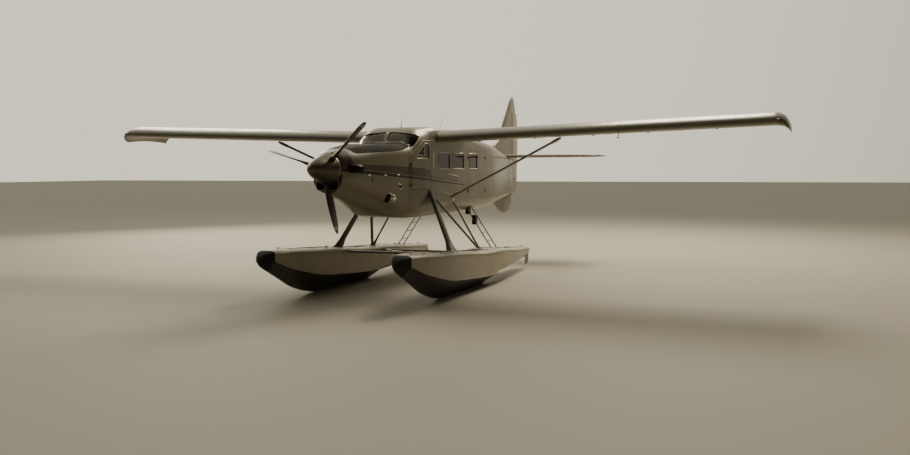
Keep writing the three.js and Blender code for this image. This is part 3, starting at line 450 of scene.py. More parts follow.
def paint_material(name, colour, worn, stripes=False, seam_axes="yz", seams=(1.05, 0.42), gloss=0.34,
                   bottom=None):
    """Weathered gloss paint on sheet metal: faint dents, rain streaks, panel seams and stripes."""
    material, tree = new_material(name)
    place = object_place(tree)
    axes = dict(zip("xyz", add(tree, "ShaderNodeSeparateXYZ", {0: place})))
    blotch = noise(tree, place, 1.7, 4.0, 0.6)
    drawn = add(tree, "ShaderNodeMapping", {"Vector": place, "Scale": (9.0, 9.0, 0.9)})[0]
    streak = noise(tree, drawn, 1.6, 6.0, 0.7)
    dirt = ranged(tree, streak, 0.0, 0.55, 0.52, 0.8)
    base = mixed(tree, dirt, mixed(tree, times(tree, blotch, 0.35), colour, worn), worn)
    coat = PAINT_COAT
    if stripes:
        along = plus(tree, axes["y"], MIDDLE_Y / 1000)
        brown, black, matt_black_and_reflection = stripe_masks(tree, along, less(tree, axes["z"], KEEL_DEPTH / 1000))
        coat = times(tree, less(tree, 1.0, matt_black_and_reflection), PAINT_COAT)
        base = mixed(tree, brown, base, mixed(tree, blotch, BROWN, BROWN_WORN))
        # Dull black over the cowl's top: an anti-glare panel and a painted dark reflection along its shoulder
        base = mixed(tree, matt_black_and_reflection, base, mixed(tree, blotch, LINE_BLACK, LINE_WORN))
        # The black lines, and the cowl's front lip in black as painted shade
        base = mixed(tree, higher(tree, black, above(tree, COWL_LIP_SHADE_END, along)), base, LINE_BLACK)
    # Faces that point downwards take the bottom colour: painted shade under the piece
    if bottom:
        facing = add(tree, "ShaderNodeSeparateXYZ", {0: add(tree, "ShaderNodeNewGeometry")["Normal"]})[2]
        base = mixed(tree, above(tree, -0.3, facing, 0.05), base, mixed(tree, dirt, bottom, worn))
    flat = add(tree, "ShaderNodeCombineXYZ", {0: axes[seam_axes[0]], 1: axes[seam_axes[1]]})[0]
    seam = add(tree, "ShaderNodeTexBrick", {
        "Vector": flat, "Scale": 1.0, "Mortar Size": 0.0022, "Mortar Smooth": 0.3,
        "Brick Width": seams[0], "Row Height": seams[1]}, offset=0.37)[1]
    base = mixed(tree, times(tree, seam, 0.6), base, SEAM_BROWN)
    rough = ranged(tree, plus(tree, blotch, times(tree, streak, 0.6)), gloss - 0.08, gloss + 0.16, 0.4, 1.2)
    if stripes:
        rough = plus(tree, rough, times(tree, matt_black_and_reflection, 0.55))
    dents, fine = noise(tree, place, 3.2, 1.0), noise(tree, place, 160.0)
    height = plus(tree, times(tree, dents, 0.9), times(tree, fine, 0.004))
    height = less(tree, height, times(tree, seam, 0.12))
    bump = add(tree, "ShaderNodeBump", {"Height": height, "Strength": 0.35, "Distance": 0.010})[0]
    surface(tree, {"Base Color": base, "Roughness": rough, "Coat Weight": coat, "Coat Roughness": 0.12,
                   "Normal": bump})
    return material


def soft_material(name, colour, dark, scale=60.0, rough=0.8, metal=0.0, depth=0.25):
    """A plain finish with a grain of its own: moulded plastic, rubber, lining or cast metal."""
    material, tree = new_material(name)
    place = object_place(tree)
    grain = noise(tree, place, scale, 5.0, 0.65)
    tone = times(tree, plus(tree, grain, noise(tree, place, 2.5, 3.0)), 0.5)
    bump = add(tree, "ShaderNodeBump", {"Height": grain, "Strength": depth, "Distance": 0.002})[0]
    roughness = ranged(tree, tone, rough - 0.1, min(rough + 0.1, 1), 0.3, 0.7)
    surface(tree, {"Base Color": mixed(tree, tone, colour, dark), "Roughness": roughness,
                   "Metallic": metal, "Normal": bump})
    return material


def tree_with(name, sizes):
    """An empty geometry tree with its named inputs; gives the tree and those inputs."""
    tree = bpy.data.node_groups.new(name, "GeometryNodeTree")
    for way in ("INPUT", "OUTPUT"):
        tree.interface.new_socket("Geometry", in_out=way, socket_type="NodeSocketGeometry")
    for label, kind in sizes.items():
        tree.interface.new_socket(label, in_out="INPUT", socket_type="NodeSocket" + kind)
    return tree, tree.nodes.new("NodeGroupInput").outputs


def close_tree(tree, geometry, material):
    whole = add(tree, "GeometryNodeRealizeInstances", {0: geometry})[0]
    painted = add(tree, "GeometryNodeSetMaterial", {"Geometry": whole, "Material": material})[0]
    add(tree, "NodeGroupOutput", {0: painted})


def grown(piece, tree, sizes):
    """Runs a geometry tree on a piece with these sizes and keeps the plain mesh."""
    modifier = piece.modifiers.new(tree.name, "NODES")
    modifier.node_group = tree
    for socket in tree.interface.items_tree:
        if socket.in_out == "INPUT" and socket.name in sizes:
            modifier[socket.identifier] = sizes[socket.name]
    return settle(piece)


# Rivet heads: low cones on points, each square to the skin by the direction kept with its point
RIVET_TREE, source = tree_with("rivet_heads", {
    "Radius": "Float", "Height": "Float", "Sides": "Int", "Material": "Material"})
head = add(RIVET_TREE, "GeometryNodeMeshCone", {
    "Vertices": source["Sides"], "Radius Bottom": source["Radius"], "Depth": source["Height"],
    "Radius Top": times(RIVET_TREE, source["Radius"], 0.55)})[0]
outward = add(RIVET_TREE, "GeometryNodeInputNamedAttribute", {"Name": "out"}, data_type="FLOAT_VECTOR")[0]
square = add(RIVET_TREE, "FunctionNodeAlignRotationToVector", {"Vector": outward}, axis="Z")[0]
points = add(RIVET_TREE, "GeometryNodeMeshToPoints", {"Mesh": source["Geometry"]})[0]
heads = add(RIVET_TREE, "GeometryNodeInstanceOnPoints", {
    "Points": points, "Instance": head, "Rotation": square})[0]
close_tree(RIVET_TREE, heads, source["Material"])

# Piping: a round bead of one thickness along a line of points, open or closed
PIPING_TREE, source = tree_with("piping", {"Radius": "Float", "Sides": "Int", "Material": "Material"})
line = add(PIPING_TREE, "GeometryNodeMeshToCurve", {"Mesh": source["Geometry"]})[0]
round_sizes = {"Resolution": source["Sides"], "Radius": source["Radius"]}
profile = add(PIPING_TREE, "GeometryNodeCurvePrimitiveCircle", round_sizes)[0]
bead = add(PIPING_TREE, "GeometryNodeCurveToMesh", {
    "Curve": line, "Profile Curve": profile, "Fill Caps": True})[0]
close_tree(PIPING_TREE, bead, source["Material"])

RIVET_SINK = 0.0005


def rivets(name, spots, material, radius=4.5, height=2.0, sides=6, slot="cream_paint", body="airframe"):
    """Rivet heads at places of the frame, each a little into the skin and square to its outward direction."""
    mesh = bpy.data.meshes.new(name)
    mesh.from_pydata([place - out * RIVET_SINK for place, out in spots], [], [])
    kept = mesh.attributes.new("out", "FLOAT_VECTOR", "POINT")
    kept.data.foreach_set("vector", [value for _, out in spots for value in out])
    sizes = {"Radius": radius / 1000, "Height": height / 1000, "Sides": sides, "Material": material}
    dress(name, grown(new_piece(mesh), RIVET_TREE, sizes), slot, material, body=body)


def piping(lines, radius, sides=10, closed=True):
    """Round beads along lines of places in millimetres, as one body."""
    points, edges = [], []
    for places in lines:
        first = len(points)
        points += [to_frame(*place) for place in places]
        edges += [(first + i, first + i + 1) for i in range(len(places) - 1)]
        if closed:
            edges.append((len(points) - 1, first))
    mesh = bpy.data.meshes.new("piping")
    mesh.from_pydata(points, edges, [])
    return grown(new_piece(mesh), PIPING_TREE, {
        "Radius": radius / 1000, "Sides": sides, "Material": DULL_METAL})


def spaced(points, spacing, closed=False):
    """Places at even distances along a line of points, each with the line's direction there."""
    line = [Vector(point) for point in points] + ([Vector(points[0])] if closed else [])
    lengths = np.cumsum([0] + [(b - a).length for a, b in zip(line, line[1:])])
    result = []
    for along in np.arange(spacing / 2, lengths[-1], spacing):
        k = int(np.searchsorted(lengths, along)) - 1
        way = line[k + 1] - line[k]
        result.append((line[k] + way * float((along - lengths[k]) / way.length), way.normalized()))
    return result


HULL_PAINT = paint_material("hull_paint", CREAM, CREAM_WORN, stripes=True)
RIM_METAL = soft_material("brushed_rim", (0.60, 0.55, 0.45, 1), (0.44, 0.40, 0.32, 1), 40, 0.40, 1.0)
DULL_METAL = soft_material("dull_metal", (0.34, 0.31, 0.26, 1), (0.20, 0.18, 0.15, 1), 45, 0.42, 1.0)
LINING = soft_material("cabin_lining", (0.30, 0.27, 0.22, 1), (0.22, 0.20, 0.16, 1), 220, 0.85)

COCKPIT_DOOR = {"gap": 9, "corner": 45,
                "outline": [(-1320, -1200), (-310, -1200), (-310, -78), (-690, -78), (-1320, -430)],
                "window": [(-1150, -470), (-385, -485), (-405, -150), (-520, -118), (-640, -118)]}
CABIN_DOOR = {"gap": 5, "corner": 70,
              "outline": corners(2250, 3082, -1480, -230), "window": corners(2345, 2985, -720, -320)}
CARGO_DOOR = {"gap": 5, "corner": 60, "outline": corners(3084, 3680, -1480, -230), "window": None}
DOORS = (("cockpit_door", COCKPIT_DOOR, SIDES), ("cabin_door", CABIN_DOOR, SIDES),
         ("cargo_door", CARGO_DOOR, SIDES[:1]))
CABIN_WINDOWS = [corners(160, 940, -720, -320), corners(1130, 1930, -720, -320)]
WINDOW_CORNER = 95
WINDOW_STRIP = corners(130, 1960, -745, -295)
# Half of the windshield seen from the front, in x, z, and how far its opening reaches along the aircraft
WINDSHIELD = [(28, -78), (440, -98), (640, -178), (714, -245), (754, -106),
              (746, 34), (650, 88), (372, 126), (28, 150)]
WINDSHIELD_CORNER, WINDSHIELD_REACH = 45, (-1238, -640)
GLASS_DEPTH, GLASS_THICK = 12, 8
LINING_UNDER, LINING_OVER_FLOOR = 28, 60
NEAR_X, FAR_X = 300, 1200


def side_prism(outline, side):
    """A body through one side of the fuselage."""
    return prism(outline, *sorted((side * NEAR_X, side * FAR_X)))


def side_tool(outline, side, corner):
    return side_prism(rounded(outline, corner), side)


def shrunk(outline, gap):
    """An outline moved inwards by a gap, edge by edge."""
    points = [Vector(point) for point in outline]
    middle = sum(points, Vector((0, 0))) / len(points)
    result = []
    for i, corner in enumerate(points):
        moves = []
        for a, b in ((points[i - 1], corner), (corner, points[(i + 1) % len(points)])):
            normal = Vector((-(b - a).y, (b - a).x)).normalized()
            moves.append(normal if normal.dot(middle - corner) > 0 else -normal)
        bisector = (moves[0] + moves[1]).normalized()
        result.append(tuple(corner + bisector * gap / bisector.dot(moves[0])))
    return result


def windshield_tool(side, gap=0.0):
    outline = rounded(shrunk([(side * x, z) for x, z in WINDSHIELD], gap), WINDSHIELD_CORNER)
    return prism(outline, *WINDSHIELD_REACH, "y")


def hull_sheet(outside, inside, first, last):
    """What lies between two depths under the skin, over a stretch of the fuselage."""
    return carve(hull_body(outside, first, last), "DIFFERENCE", hull_body(inside, first - 10, last + 10))


def pane(cutter):
    """A sheet of glass that follows the skin, a depth under it, as far as its cutter reaches."""
    return carve(hull_sheet(GLASS_DEPTH, GLASS_DEPTH + GLASS_THICK, -1300, 3400), "INTERSECT", cutter)


fuselage = hull_body()
openings = [side_tool(window, side, WINDOW_CORNER) for window in CABIN_WINDOWS for _, side in SIDES]
openings += [side_tool(door["outline"], side, door["corner"])
             for _, door, sides in DOORS for _, side in sides]
openings += [windshield_tool(side) for _, side in SIDES]
pockets = [carve(side_prism(WINDOW_STRIP, side), "INTERSECT", hull_body(GLASS_DEPTH - SEAT_GAP, 0, 2100))
           for _, side in SIDES]
tail_hollow = hull_body(WALL, CABIN_REAR_Y + 25, TAIL_POST_Y - 300)
carve(fuselage, "DIFFERENCE", cabin_space(), tail_hollow, *openings, *pockets)
fuselage.data.materials.append(HULL_PAINT)
fuselage.data.materials.append(LINING)
for face in fuselage.data.polygons:
    x, y, z = from_frame(face.center)
    _, half, bottom, top, _, _ = hull_row(y)
    inside = abs(x) < half - LINING_UNDER and bottom + LINING_OVER_FLOOR < z < top - LINING_UNDER
    face.material_index = int(inside and FIREWALL_Y + 5 < y < CABIN_REAR_Y + 2)
dress("fuselage_shell", fuselage, "cream_paint", HULL_PAINT,
      ["cabin_floor", "cabin_roof", "cabin_side_port", "cabin_side_starboard", "firewall", "rear_bulkhead"])

FRAME_STATIONS = [-1430, -200, 60, 1035, 2060, 2215, 3730, 4010, 4300, 4900,
                  5500, 6100, 6700, 7300, 7850, 8330]
SEAM_SHARES = (0.12, 0.33, 0.62, 0.86)
RIVET_SPACING = 0.055


def inside_outline(y, z, outline, margin=26):
    ys, zs = zip(*outline)
    return min(ys) - margin < y < max(ys) + margin and min(zs) - margin < z < max(zs) + margin


def bare_skin(place):
    """Whether a rivet may sit here: not on an opening, a door's edge, the windshield or the fin's root."""
    x, y, z = from_frame(place)
    outlines = [*CABIN_WINDOWS, *(door["outline"] for _, door, _ in DOORS)]
    on_windshield = -1290 < y < -560 and z > -300
    under_fin = y > 5800 and abs(x) < 75 and z > -600
    return not (on_windshield or under_fin or any(inside_outline(y, z, outline) for outline in outlines))


def outwards(ring, place, way):
    """The direction out of a ring of the skin at one of its places, from the ring's own direction there."""
    out = Vector((way.z, 0, -way.x))
    return out if out.dot(place - sum(ring, Vector()) / len(ring)) > 0 else -out


spots = []
for y in FRAME_STATIONS:
    ring = rounded_box(*hull_row(y))
    spots += [(place, outwards(ring, place, way)) for place, way in spaced(ring, RIVET_SPACING, closed=True)]
for share in SEAM_SHARES:
    for _, side in SIDES:
        line = []
        for y in stations(FIREWALL_Y + 30, TAIL_POST_Y - 60, 100):
            _, half, bottom, top, low, high = hull_row(y)
            z = bottom + low + (top - high - bottom - low) * share
            line.append(to_frame(side * half, y, z))
        spots += [(place, Vector((side, 0, 0))) for place, _ in spaced(line, RIVET_SPACING)]
rivets("fuselage_rivets", [spot for spot in spots if bare_skin(spot[0])], HULL_PAINT, 5, 2.4)

# Nose cowl
# Two sheet-metal halves that meet above the exhausts, held to the firewall by quarter-turn fasteners.
# The chin inlet, the round outlets and the small vents are rolled edges over dark ducts.
COWL_WALL, COWL_FRONT_Y, COWL_SPLIT = 25, -3850, -800
SHAFT_Z, SHAFT_HOLE_RADIUS = -715, 76
# Columns: y, half width, bottom, top, bottom corner radius, top corner radius
COWL_SECTIONS = [
    (COWL_FRONT_Y, 330, -1205, -378, 290, 290),
    (-3540, 442, -1300, -312, 420, 300),
    (-2880, 560, -1485, -222, 520, 300),
    (-2290, 648, -1660, -162, 480, 290),
    (-1810, 700, -1785, -150, 400, 280),
    (FIREWALL_Y, 730, -1830, -150, 330, 280),
]
# The chin inlet's left, right, bottom, top and corner radius, and the height that its duct narrows towards
CHIN_INLET, INLET_MIDDLE_Z = (-262, 262, -1150, -905, 95), -1027
# Columns: name, place along the cowl and height, radius, the rolled edge's radius, the duct's length
COWL_HOLES = [("cooling_outlet", -2290, -1360, 125, 13, 170), ("side_vent", -1810, -1120, 58, 8, 70)]
EXHAUST_PATH = [(235, -3590, -705), (400, -3600, -705), (505, -3545, -705), (548, -3420, -708)]
EXHAUST_RADIUS, EXHAUST_WALL = 88, 7
COWL_LIP, COWL_GAP = 16, 1.2
PORT, AFT, UP = Vector((1, 0, 0)), Vector((0, 1, 0)), Vector((0, 0, 1))
# Near black: painted shade inside the chin inlet's duct and on the drain slots
DUCT_SHADE = soft_material("duct_painted_shade", (0.018, 0.016, 0.014, 1), (0.008, 0.007, 0.006, 1), 90, 0.75)


def cowl_rings(depth=0, front=COWL_FRONT_Y, rear=FIREWALL_Y - 1, lip=0):
    """Sections of the cowl, a depth under its skin, with its front edge rolled in by a lip."""
    fixed = [row[0] for row in COWL_SECTIONS if front < row[0] < rear]
    if lip:
        fixed += [front + lip * (1 - math.cos(math.radians(a))) for a in (0, 30, 60, 90)]
    rings = []
    for y in stations(front, rear, 110, *fixed):
        drop = lip - math.sqrt(max(0, lip * lip - max(0, lip - (y - front)) ** 2))
        rings.append(rounded_box(y, *between(COWL_SECTIONS, y)[1:], depth=depth + drop, steps=10))
    return rings


def half_width(row, z):
    """Half width at a height of a section with rounded corners."""
    _, half, bottom, top, low_corner, high_corner = row
    if z > top - high_corner:
        return half - high_corner + math.sqrt(max(0, high_corner ** 2 - (z - top + high_corner) ** 2))
    if z < bottom + low_corner:
        return half - low_corner + math.sqrt(max(0, low_corner ** 2 - (bottom + low_corner - z) ** 2))
    return half


def cowl_x(y, z):
    return half_width(between(COWL_SECTIONS, y), z)


def turns(count):
    """Even angles round a circle."""
    return [2 * math.pi * i / count for i in range(count)]


def circle(centre, radius, count=36):
    return [(centre[0] + radius * math.cos(a), centre[1] + radius * math.sin(a)) for a in turns(count)]


def oblong(x0, x1, z0, z1, corner, steps=8):
    return rounded(corners(x0, x1, z0, z1), corner, steps)


def smooth_path(points, count):
    """A curve through points, as evenly counted places along it."""
    given = [Vector(point) for point in points]
    ends = [given[0] * 2 - given[1], *given, given[-1] * 2 - given[-2]]
    result = []
    for i in range(len(given) - 1):
        a, b, c, d = ends[i:i + 4]
        for step in range(count):
            t = step / count
            lower = 2 * b + (c - a) * t + (2 * a - 5 * b + 4 * c - d) * t * t
            result.append(0.5 * (lower + (3 * b - a - 3 * c + d) * t ** 3))
    return [*result, given[-1]]


def tube_rings(path, radius, sides=16):
    """Rings square to a path; the radius is a number, or one number for each place."""
    radii = [radius] * len(path) if isinstance(radius, (int, float)) else radius
    rings, side = [], None
    for i, point in enumerate(path):
        along = (path[min(i + 1, len(path) - 1)] - path[max(i - 1, 0)]).normalized()
        if side is None:
            side = along.cross(UP if abs(along.z) < 0.9 else AFT).normalized()
        side = (side - along * side.dot(along)).normalized()
        across = along.cross(side)
        rings.append([to_frame(*(point + side * radii[i] * math.cos(a) + across * radii[i] * math.sin(a)))
                      for a in turns(sides)])
    return rings


def tube(points, radius, sides=16, count=1):
    return skin(tube_rings(smooth_path(points, count), radius, sides))


def joined(*pieces):
    """Several meshes as one piece."""
    build = bmesh.new()
    for piece in pieces:
        build.from_mesh(piece.data)
        bpy.data.objects.remove(piece)
    return built(build)


def mirrored(path, side):
    return [Vector((side * x, y, z)) for x, y, z in path]


def cowl_tools():
    tools = [prism(circle((0, SHAFT_Z), SHAFT_HOLE_RADIUS), COWL_FRONT_Y - 40, COWL_FRONT_Y + 90, "y"),
             prism(oblong(*CHIN_INLET), COWL_FRONT_Y - 50, COWL_FRONT_Y + 90, "y")]
    tools += [prism(circle((y, z), radius), -1000, 1000) for _, y, z, radius, _, _ in COWL_HOLES]
    return tools + [tube(mirrored(EXHAUST_PATH, side), EXHAUST_RADIUS + 6, 24, 6)
                    for _, side in SIDES]


for half, low, high in (("upper", COWL_SPLIT + COWL_GAP, 500), ("lower", -2500, COWL_SPLIT - COWL_GAP)):
    room = skin(cowl_rings(COWL_WALL, COWL_FRONT_Y + COWL_WALL, FIREWALL_Y + 40))
    shell = carve(skin(cowl_rings(lip=COWL_LIP)), "DIFFERENCE", room, *cowl_tools())
    carve(shell, "INTERSECT", box_body(-1500, 1500, -5000, 0, low, high))
    dress(f"cowl_skin_{half}", shell, "cream_paint", HULL_PAINT, [f"cowl_{half}"])


def spun_metal(name, colour, dull, smooth, rough):
    """Aluminium turned and polished round the nose's axis, with fine scratches and dull patches."""
    material, tree = new_material(name)
    spot = object_place(tree)
    drawn = add(tree, "ShaderNodeMapping", {"Vector": spot, "Scale": (60, 4, 60)})[0]
    scratch = noise(tree, drawn, 2.0, 5.0)
    smear = noise(tree, spot, 5.0, 3.0)
    surface(tree, {"Base Color": mixed(tree, smear, colour, dull), "Metallic": 1.0,
                   "Roughness": ranged(tree, scratch, smooth, rough)})
    return material


POLISHED = spun_metal("polished_aluminium", (0.74, 0.68, 0.57, 1), (0.50, 0.45, 0.36, 1), 0.07, 0.24)
SPINNER_METAL = spun_metal("spun_aluminium", (0.17, 0.153, 0.122, 1), (0.10, 0.088, 0.069, 1), 0.34, 0.58)
SOOTED = soft_material("sooted_steel", (0.030, 0.024, 0.020, 1), (0.012, 0.010, 0.009, 1), 30, 0.55, 0.8)
IRON = soft_material("cast_iron", (0.10, 0.095, 0.085, 1), (0.05, 0.047, 0.04, 1), 120, 0.7, 0.6, 0.5)

for label, side in SIDES:
    path = mirrored(EXHAUST_PATH, side)
    back = (path[3] - path[2]).normalized()
    over = back.cross(UP).normalized()
    bore = tube([path[1], path[2], path[3] * 2 - path[2]], EXHAUST_RADIUS - EXHAUST_WALL, 32, 8)
    pipe = carve(tube(path, EXHAUST_RADIUS, 32, 8), "DIFFERENCE", bore)
    edge = [path[3] + (UP * math.cos(a) + over * math.sin(a)) * (EXHAUST_RADIUS - 2) - back * 4
            for a in [*turns(36), 2 * math.pi]]
    collar = skin(tube_rings(edge, 5, 8))
    stub = joined(pipe, collar)
    dress(f"exhaust_stub_{label}", stub, "exhaust_steel", SOOTED, [f"exhaust_{label}"])


def hoop(centre, normal, radius, count=40):
    """Places around a hole, in the plane square to its direction."""
    one = normal.orthogonal().normalized()
    two = normal.cross(one)
    return [centre + (one * math.cos(a) + two * math.sin(a)) * radius for a in turns(count)]


def cowl_normal(side, y, z, step=20):
    ahead = Vector((cowl_x(y + step, z) - cowl_x(y - step, z), 2 * step, 0))
    upward = Vector((cowl_x(y, z + step) - cowl_x(y, z - step), 0, 2 * step))
    normal = ahead.cross(upward).normalized()
    return Vector((side * normal.x, normal.y, normal.z))


for name, y, z, radius, edge, length in COWL_HOLES:
    for label, side in SIDES:
        x, normal = cowl_x(y, z), cowl_normal(side, y, z)
        lip = piping([hoop(Vector((side * (x - 2), y, z)), normal, radius)], edge)
        dress(f"{name}_rim_{label}", lip, "bare_metal", POLISHED)
        mouth = Vector((side * (x - 12), y, z))
        bend = [mouth, mouth - normal * length * 0.5 - AFT * length * 0.1,
                mouth - normal * length - AFT * length * 0.5]
        bore = [mouth + normal * 30, *bend[:2], bend[1] * 0.2 + bend[2] * 0.8]
        bored = tube(bore, radius - 8, 32, 5)
        duct = carve(tube(bend, radius - 2, 32, 5), "DIFFERENCE", bored)
        dress(f"{name}_duct_{label}", duct, "bare_metal", DULL_METAL)


def inlet_body(rows):
    """A body that follows the chin inlet inwards. Columns: y, share of the inlet's size, drop."""
    return skin([[to_frame(x * share, y, (z - INLET_MIDDLE_Z) * share + INLET_MIDDLE_Z - drop)
                  for x, z in oblong(*CHIN_INLET, 10)] for y, share, drop in rows])


lip = piping([[(x, COWL_FRONT_Y + 4, z) for x, z in oblong(*CHIN_INLET, 10)]], 15, 12)
dress("chin_inlet_lip", lip, "bare_metal", DULL_METAL)
bore = inlet_body([(COWL_FRONT_Y - 20, 0.965, 0), (COWL_FRONT_Y + 6, 0.965, 0), (-3640, 0.875, 10),
                   (-3400, 0.715, 38)])
duct = inlet_body([(COWL_FRONT_Y + 6, 0.99, 0), (-3640, 0.90, 10), (-3380, 0.74, 40)])
dress("chin_duct", carve(duct, "DIFFERENCE", bore), "dark_trim", DUCT_SHADE)

spots = []
for _, side in SIDES:
    for y in stations(-3780, FIREWALL_Y - 60, 150):
        for z in (COWL_SPLIT - 26, COWL_SPLIT + 26):
            if z < COWL_SPLIT or y > -3200:
                spots.append((to_frame(side * cowl_x(y, z), y, z), cowl_normal(side, y, z)))
joint_ring = rounded_box(*between(COWL_SECTIONS, FIREWALL_Y - 34))
spots += [(place, outwards(joint_ring, place, way)) for place, way in spaced(joint_ring, 0.13, closed=True)]
rivets("cowl_fasteners", spots, DULL_METAL, radius=10, height=3.5, sides=12, slot="bare_metal")

# Propeller and spinner
# Three feathered blades on one hub, each with a black cuff at its root, under a spun and polished spinner.
# The blades are dark with a pale band near the tip; the whole set turns on the engine's shaft.
PROPELLER_Y, SPINNER_BACK_Y = -4000, -3865
BLADE_ANGLES = (-77, 44, 163)
SPINNER_PROFILE = [(-4570, 0), (-4568, 14), (-4560, 31), (-4545, 52), (-4510, 84), (-4470, 112), (-4400, 151),
                   (-4320, 188), (-4220, 224), (-4120, 255), (-4040, 282), (-3960, 305), (-3900, 322),
                   (SPINNER_BACK_Y, 330), (SPINNER_BACK_Y, 322), (SPINNER_BACK_Y, 0)]
BACKPLATE_PROFILE = [(-3905, 300), (-3905, 324.5), (-3892, 326.5), (-3866, 333), (-3861, 329), (-3861, 120),
                     (-3872, 120), (-3872, 300)]
HUB_PROFILE = [(-4080, 0), (-4080, 120), (-4066, 140), (-3934, 140),
               (-3920, 120), (-3920, 60), (-3642, 60), (-3642, 0)]
# Columns: radius, chord, thickness, twist in degrees from edge-on
BLADE_SECTIONS = [(120, 110, 110, 0), (330, 132, 84, 4), (540, 212, 44, 10),
                  (880, 250, 30, 4), (1190, 236, 20, -3), (1345, 128, 9, -6)]
BLADE_ROUND_TO, BLADE_TIP_FROM, BLADE_TIP_LENGTH = 330, 1300, 45
# Columns: share of the tip's length, share of the chord
BLADE_TIP = [(0.35, 0.93), (0.65, 0.76), (0.86, 0.52), (1.0, 0.10)]
TIP_BAND = (1.20, 1.27)
BLADE_BLACK, BLADE_FADED = (0.020, 0.016, 0.013, 1), (0.045, 0.036, 0.028, 1)
TIP_CREAM, CHIPPED = (0.33, 0.28, 0.19, 1), (0.20, 0.18, 0.15, 1)
# Columns: radius, how far the rubber cuff stands off the blade's root
CUFF_ROWS = [(262, 10), (292, 16), (312, 15), (330, 8), (338, 1)]


def lathe(profile, axis_z, sides=64):
    """A body of y, radius points turned about a line along the aircraft."""
    return skin([[to_frame(r * math.cos(a), y, axis_z + r * math.sin(a)) for a in turns(sides)]
                 for y, r in profile])


def blade_ring(angle, r, half_chord, half_thick, twist, fat=0.0, sides=28):
    """One section of a blade, turned by its twist, with one face fuller than the other."""
    out = Vector((math.cos(angle), 0, math.sin(angle)))
    across = Vector((-math.sin(angle), 0, math.cos(angle)))
    c, s = math.cos(math.radians(twist)), math.sin(math.radians(twist))
    long, short = Vector((0, c, 0)) + across * s, Vector((0, -s, 0)) + across * c
    centre = Vector((0, PROPELLER_Y, SHAFT_Z)) + out * r
    return [to_frame(*(centre + long * math.cos(a) * half_chord
                       + short * math.sin(a) * half_thick * (1 - fat * math.cos(a)))) for a in turns(sides)]


def blade_body(angle):
    rings = []
    for r in stations(120, BLADE_TIP_FROM, 45):
        _, chord, thick, twist = between(BLADE_SECTIONS, r)
        fat = 0.28 * min(1, max(0, r - BLADE_ROUND_TO) / 200)
        rings.append(blade_ring(angle, r, chord / 2, thick / 2, twist, fat))
    _, chord, thick, twist = between(BLADE_SECTIONS, BLADE_TIP_FROM)
    for share, scale in BLADE_TIP:
        r = BLADE_TIP_FROM + BLADE_TIP_LENGTH * share
        rings.append(blade_ring(angle, r, chord * scale / 2, thick * max(scale, 0.3) / 2, twist, 0.28))
    return skin(rings)


BLADE_FINISH, tree = new_material("blade_paint")
spot = object_place(tree)
x, _, z = add(tree, "ShaderNodeSeparateXYZ", {0: spot})[:3]
z = less(tree, z, (SHAFT_Z + KEEL_DEPTH) / 1000)
radial = math_of(tree, "SQRT", plus(tree, times(tree, x, x), times(tree, z, z)))
tip = times(tree, above(tree, radial, TIP_BAND[0]), above(tree, TIP_BAND[1], radial))
chips = noise(tree, spot, 40.0, 6.0, 0.7)
base = mixed(tree, tip, mixed(tree, chips, BLADE_BLACK, BLADE_FADED), TIP_CREAM)
base = mixed(tree, times(tree, above(tree, chips, 0.66, 0.03), 0.6), base, CHIPPED)
surface(tree, {"Base Color": base, "Roughness": 0.38, "Coat Weight": 0.15})
blades = [blade_body(math.radians(angle)) for angle in BLADE_ANGLES]
hub = lathe(HUB_PROFILE, SHAFT_Z)
dress("propeller_set", joined(*blades, hub), "blade_paint", BLADE_FINISH, ["propeller_blades"],
      body="propeller")
shell = lathe(SPINNER_PROFILE, SHAFT_Z, 96)
dress("spinner_shell", shell, "polished_metal", SPINNER_METAL, ["spinner"], crease=50, body="propeller")
backplate = lathe(BACKPLATE_PROFILE, SHAFT_Z, 96)
dress("spinner_backplate", backplate, "bare_metal", DULL_METAL, body="propeller")

BLACK_RUBBER = soft_material("black_rubber", (0.022, 0.020, 0.018, 1), (0.010, 0.009, 0.008, 1), 130, 0.8)
_, chord, thick, twist = between(BLADE_SECTIONS, 300)
for number, angle in enumerate(BLADE_ANGLES, 1):
    rings = [blade_ring(math.radians(angle), r, chord / 2 + grow, thick / 2 + grow, twist, sides=32)
             for r, grow in CUFF_ROWS]
    dress(f"blade_cuff_{number}", skin(rings), "rubber", BLACK_RUBBER, body="propeller")
engine = bpy.data.objects["engine"].data
engine.materials.clear()
engine.materials.append(IRON)

# Windshield and cabin glass
# Curved acrylic panes bedded in rubber behind rims of bright metal; the windshield has a centre post.
# Each side has one long strip of acrylic behind its two windows.
GLASS, tree = new_material("tinted_glass")
film = noise(tree, object_place(tree), 3.0, 5.0, 0.6)
surface(tree, {"Base Color": mixed(tree, film, (0.44, 0.41, 0.35, 1), (0.32, 0.29, 0.25, 1)),
               "Transmission Weight": 1.0, "IOR": 1.45,
               "Roughness": ranged(tree, film, 0.01, 0.10, 0.5, 0.8)})


def hull_x(y, z):
    return half_width(hull_row(y), z)


def refined(outline, step):
    """The same closed outline with points no further apart than a step."""
    result = []
    for i, point in enumerate(outline):
        a, b = Vector(point), Vector(outline[(i + 1) % len(outline)])
        count = max(1, math.ceil((b - a).length / step))
        result += [tuple(a + (b - a) * k / count) for k in range(count)]
    return result


def on_side(outline, side, proud=0.0, step=60):
    """A closed line of y, z points laid on the fuselage's side."""
    return [Vector((side * (hull_x(y, z) + proud), y, z)) for y, z in refined(outline, step)]


def windshield_y(x, z):
    """Where the windshield's surface lies along the aircraft, at a place seen from the front."""
    low, high = -1250.0, -500.0
    for _ in range(24):
        y = (low + high) / 2
        _, half, bottom, top, low_corner, high_corner = hull_row(y)
        over = abs(x) - (half - high_corner)
        limit = top if over <= 0 else top - high_corner + math.sqrt(max(0, high_corner ** 2 - over ** 2))
        inside = z < limit and abs(x) < half
        low, high = (low, y) if inside else (y, high)
    return (low + high) / 2


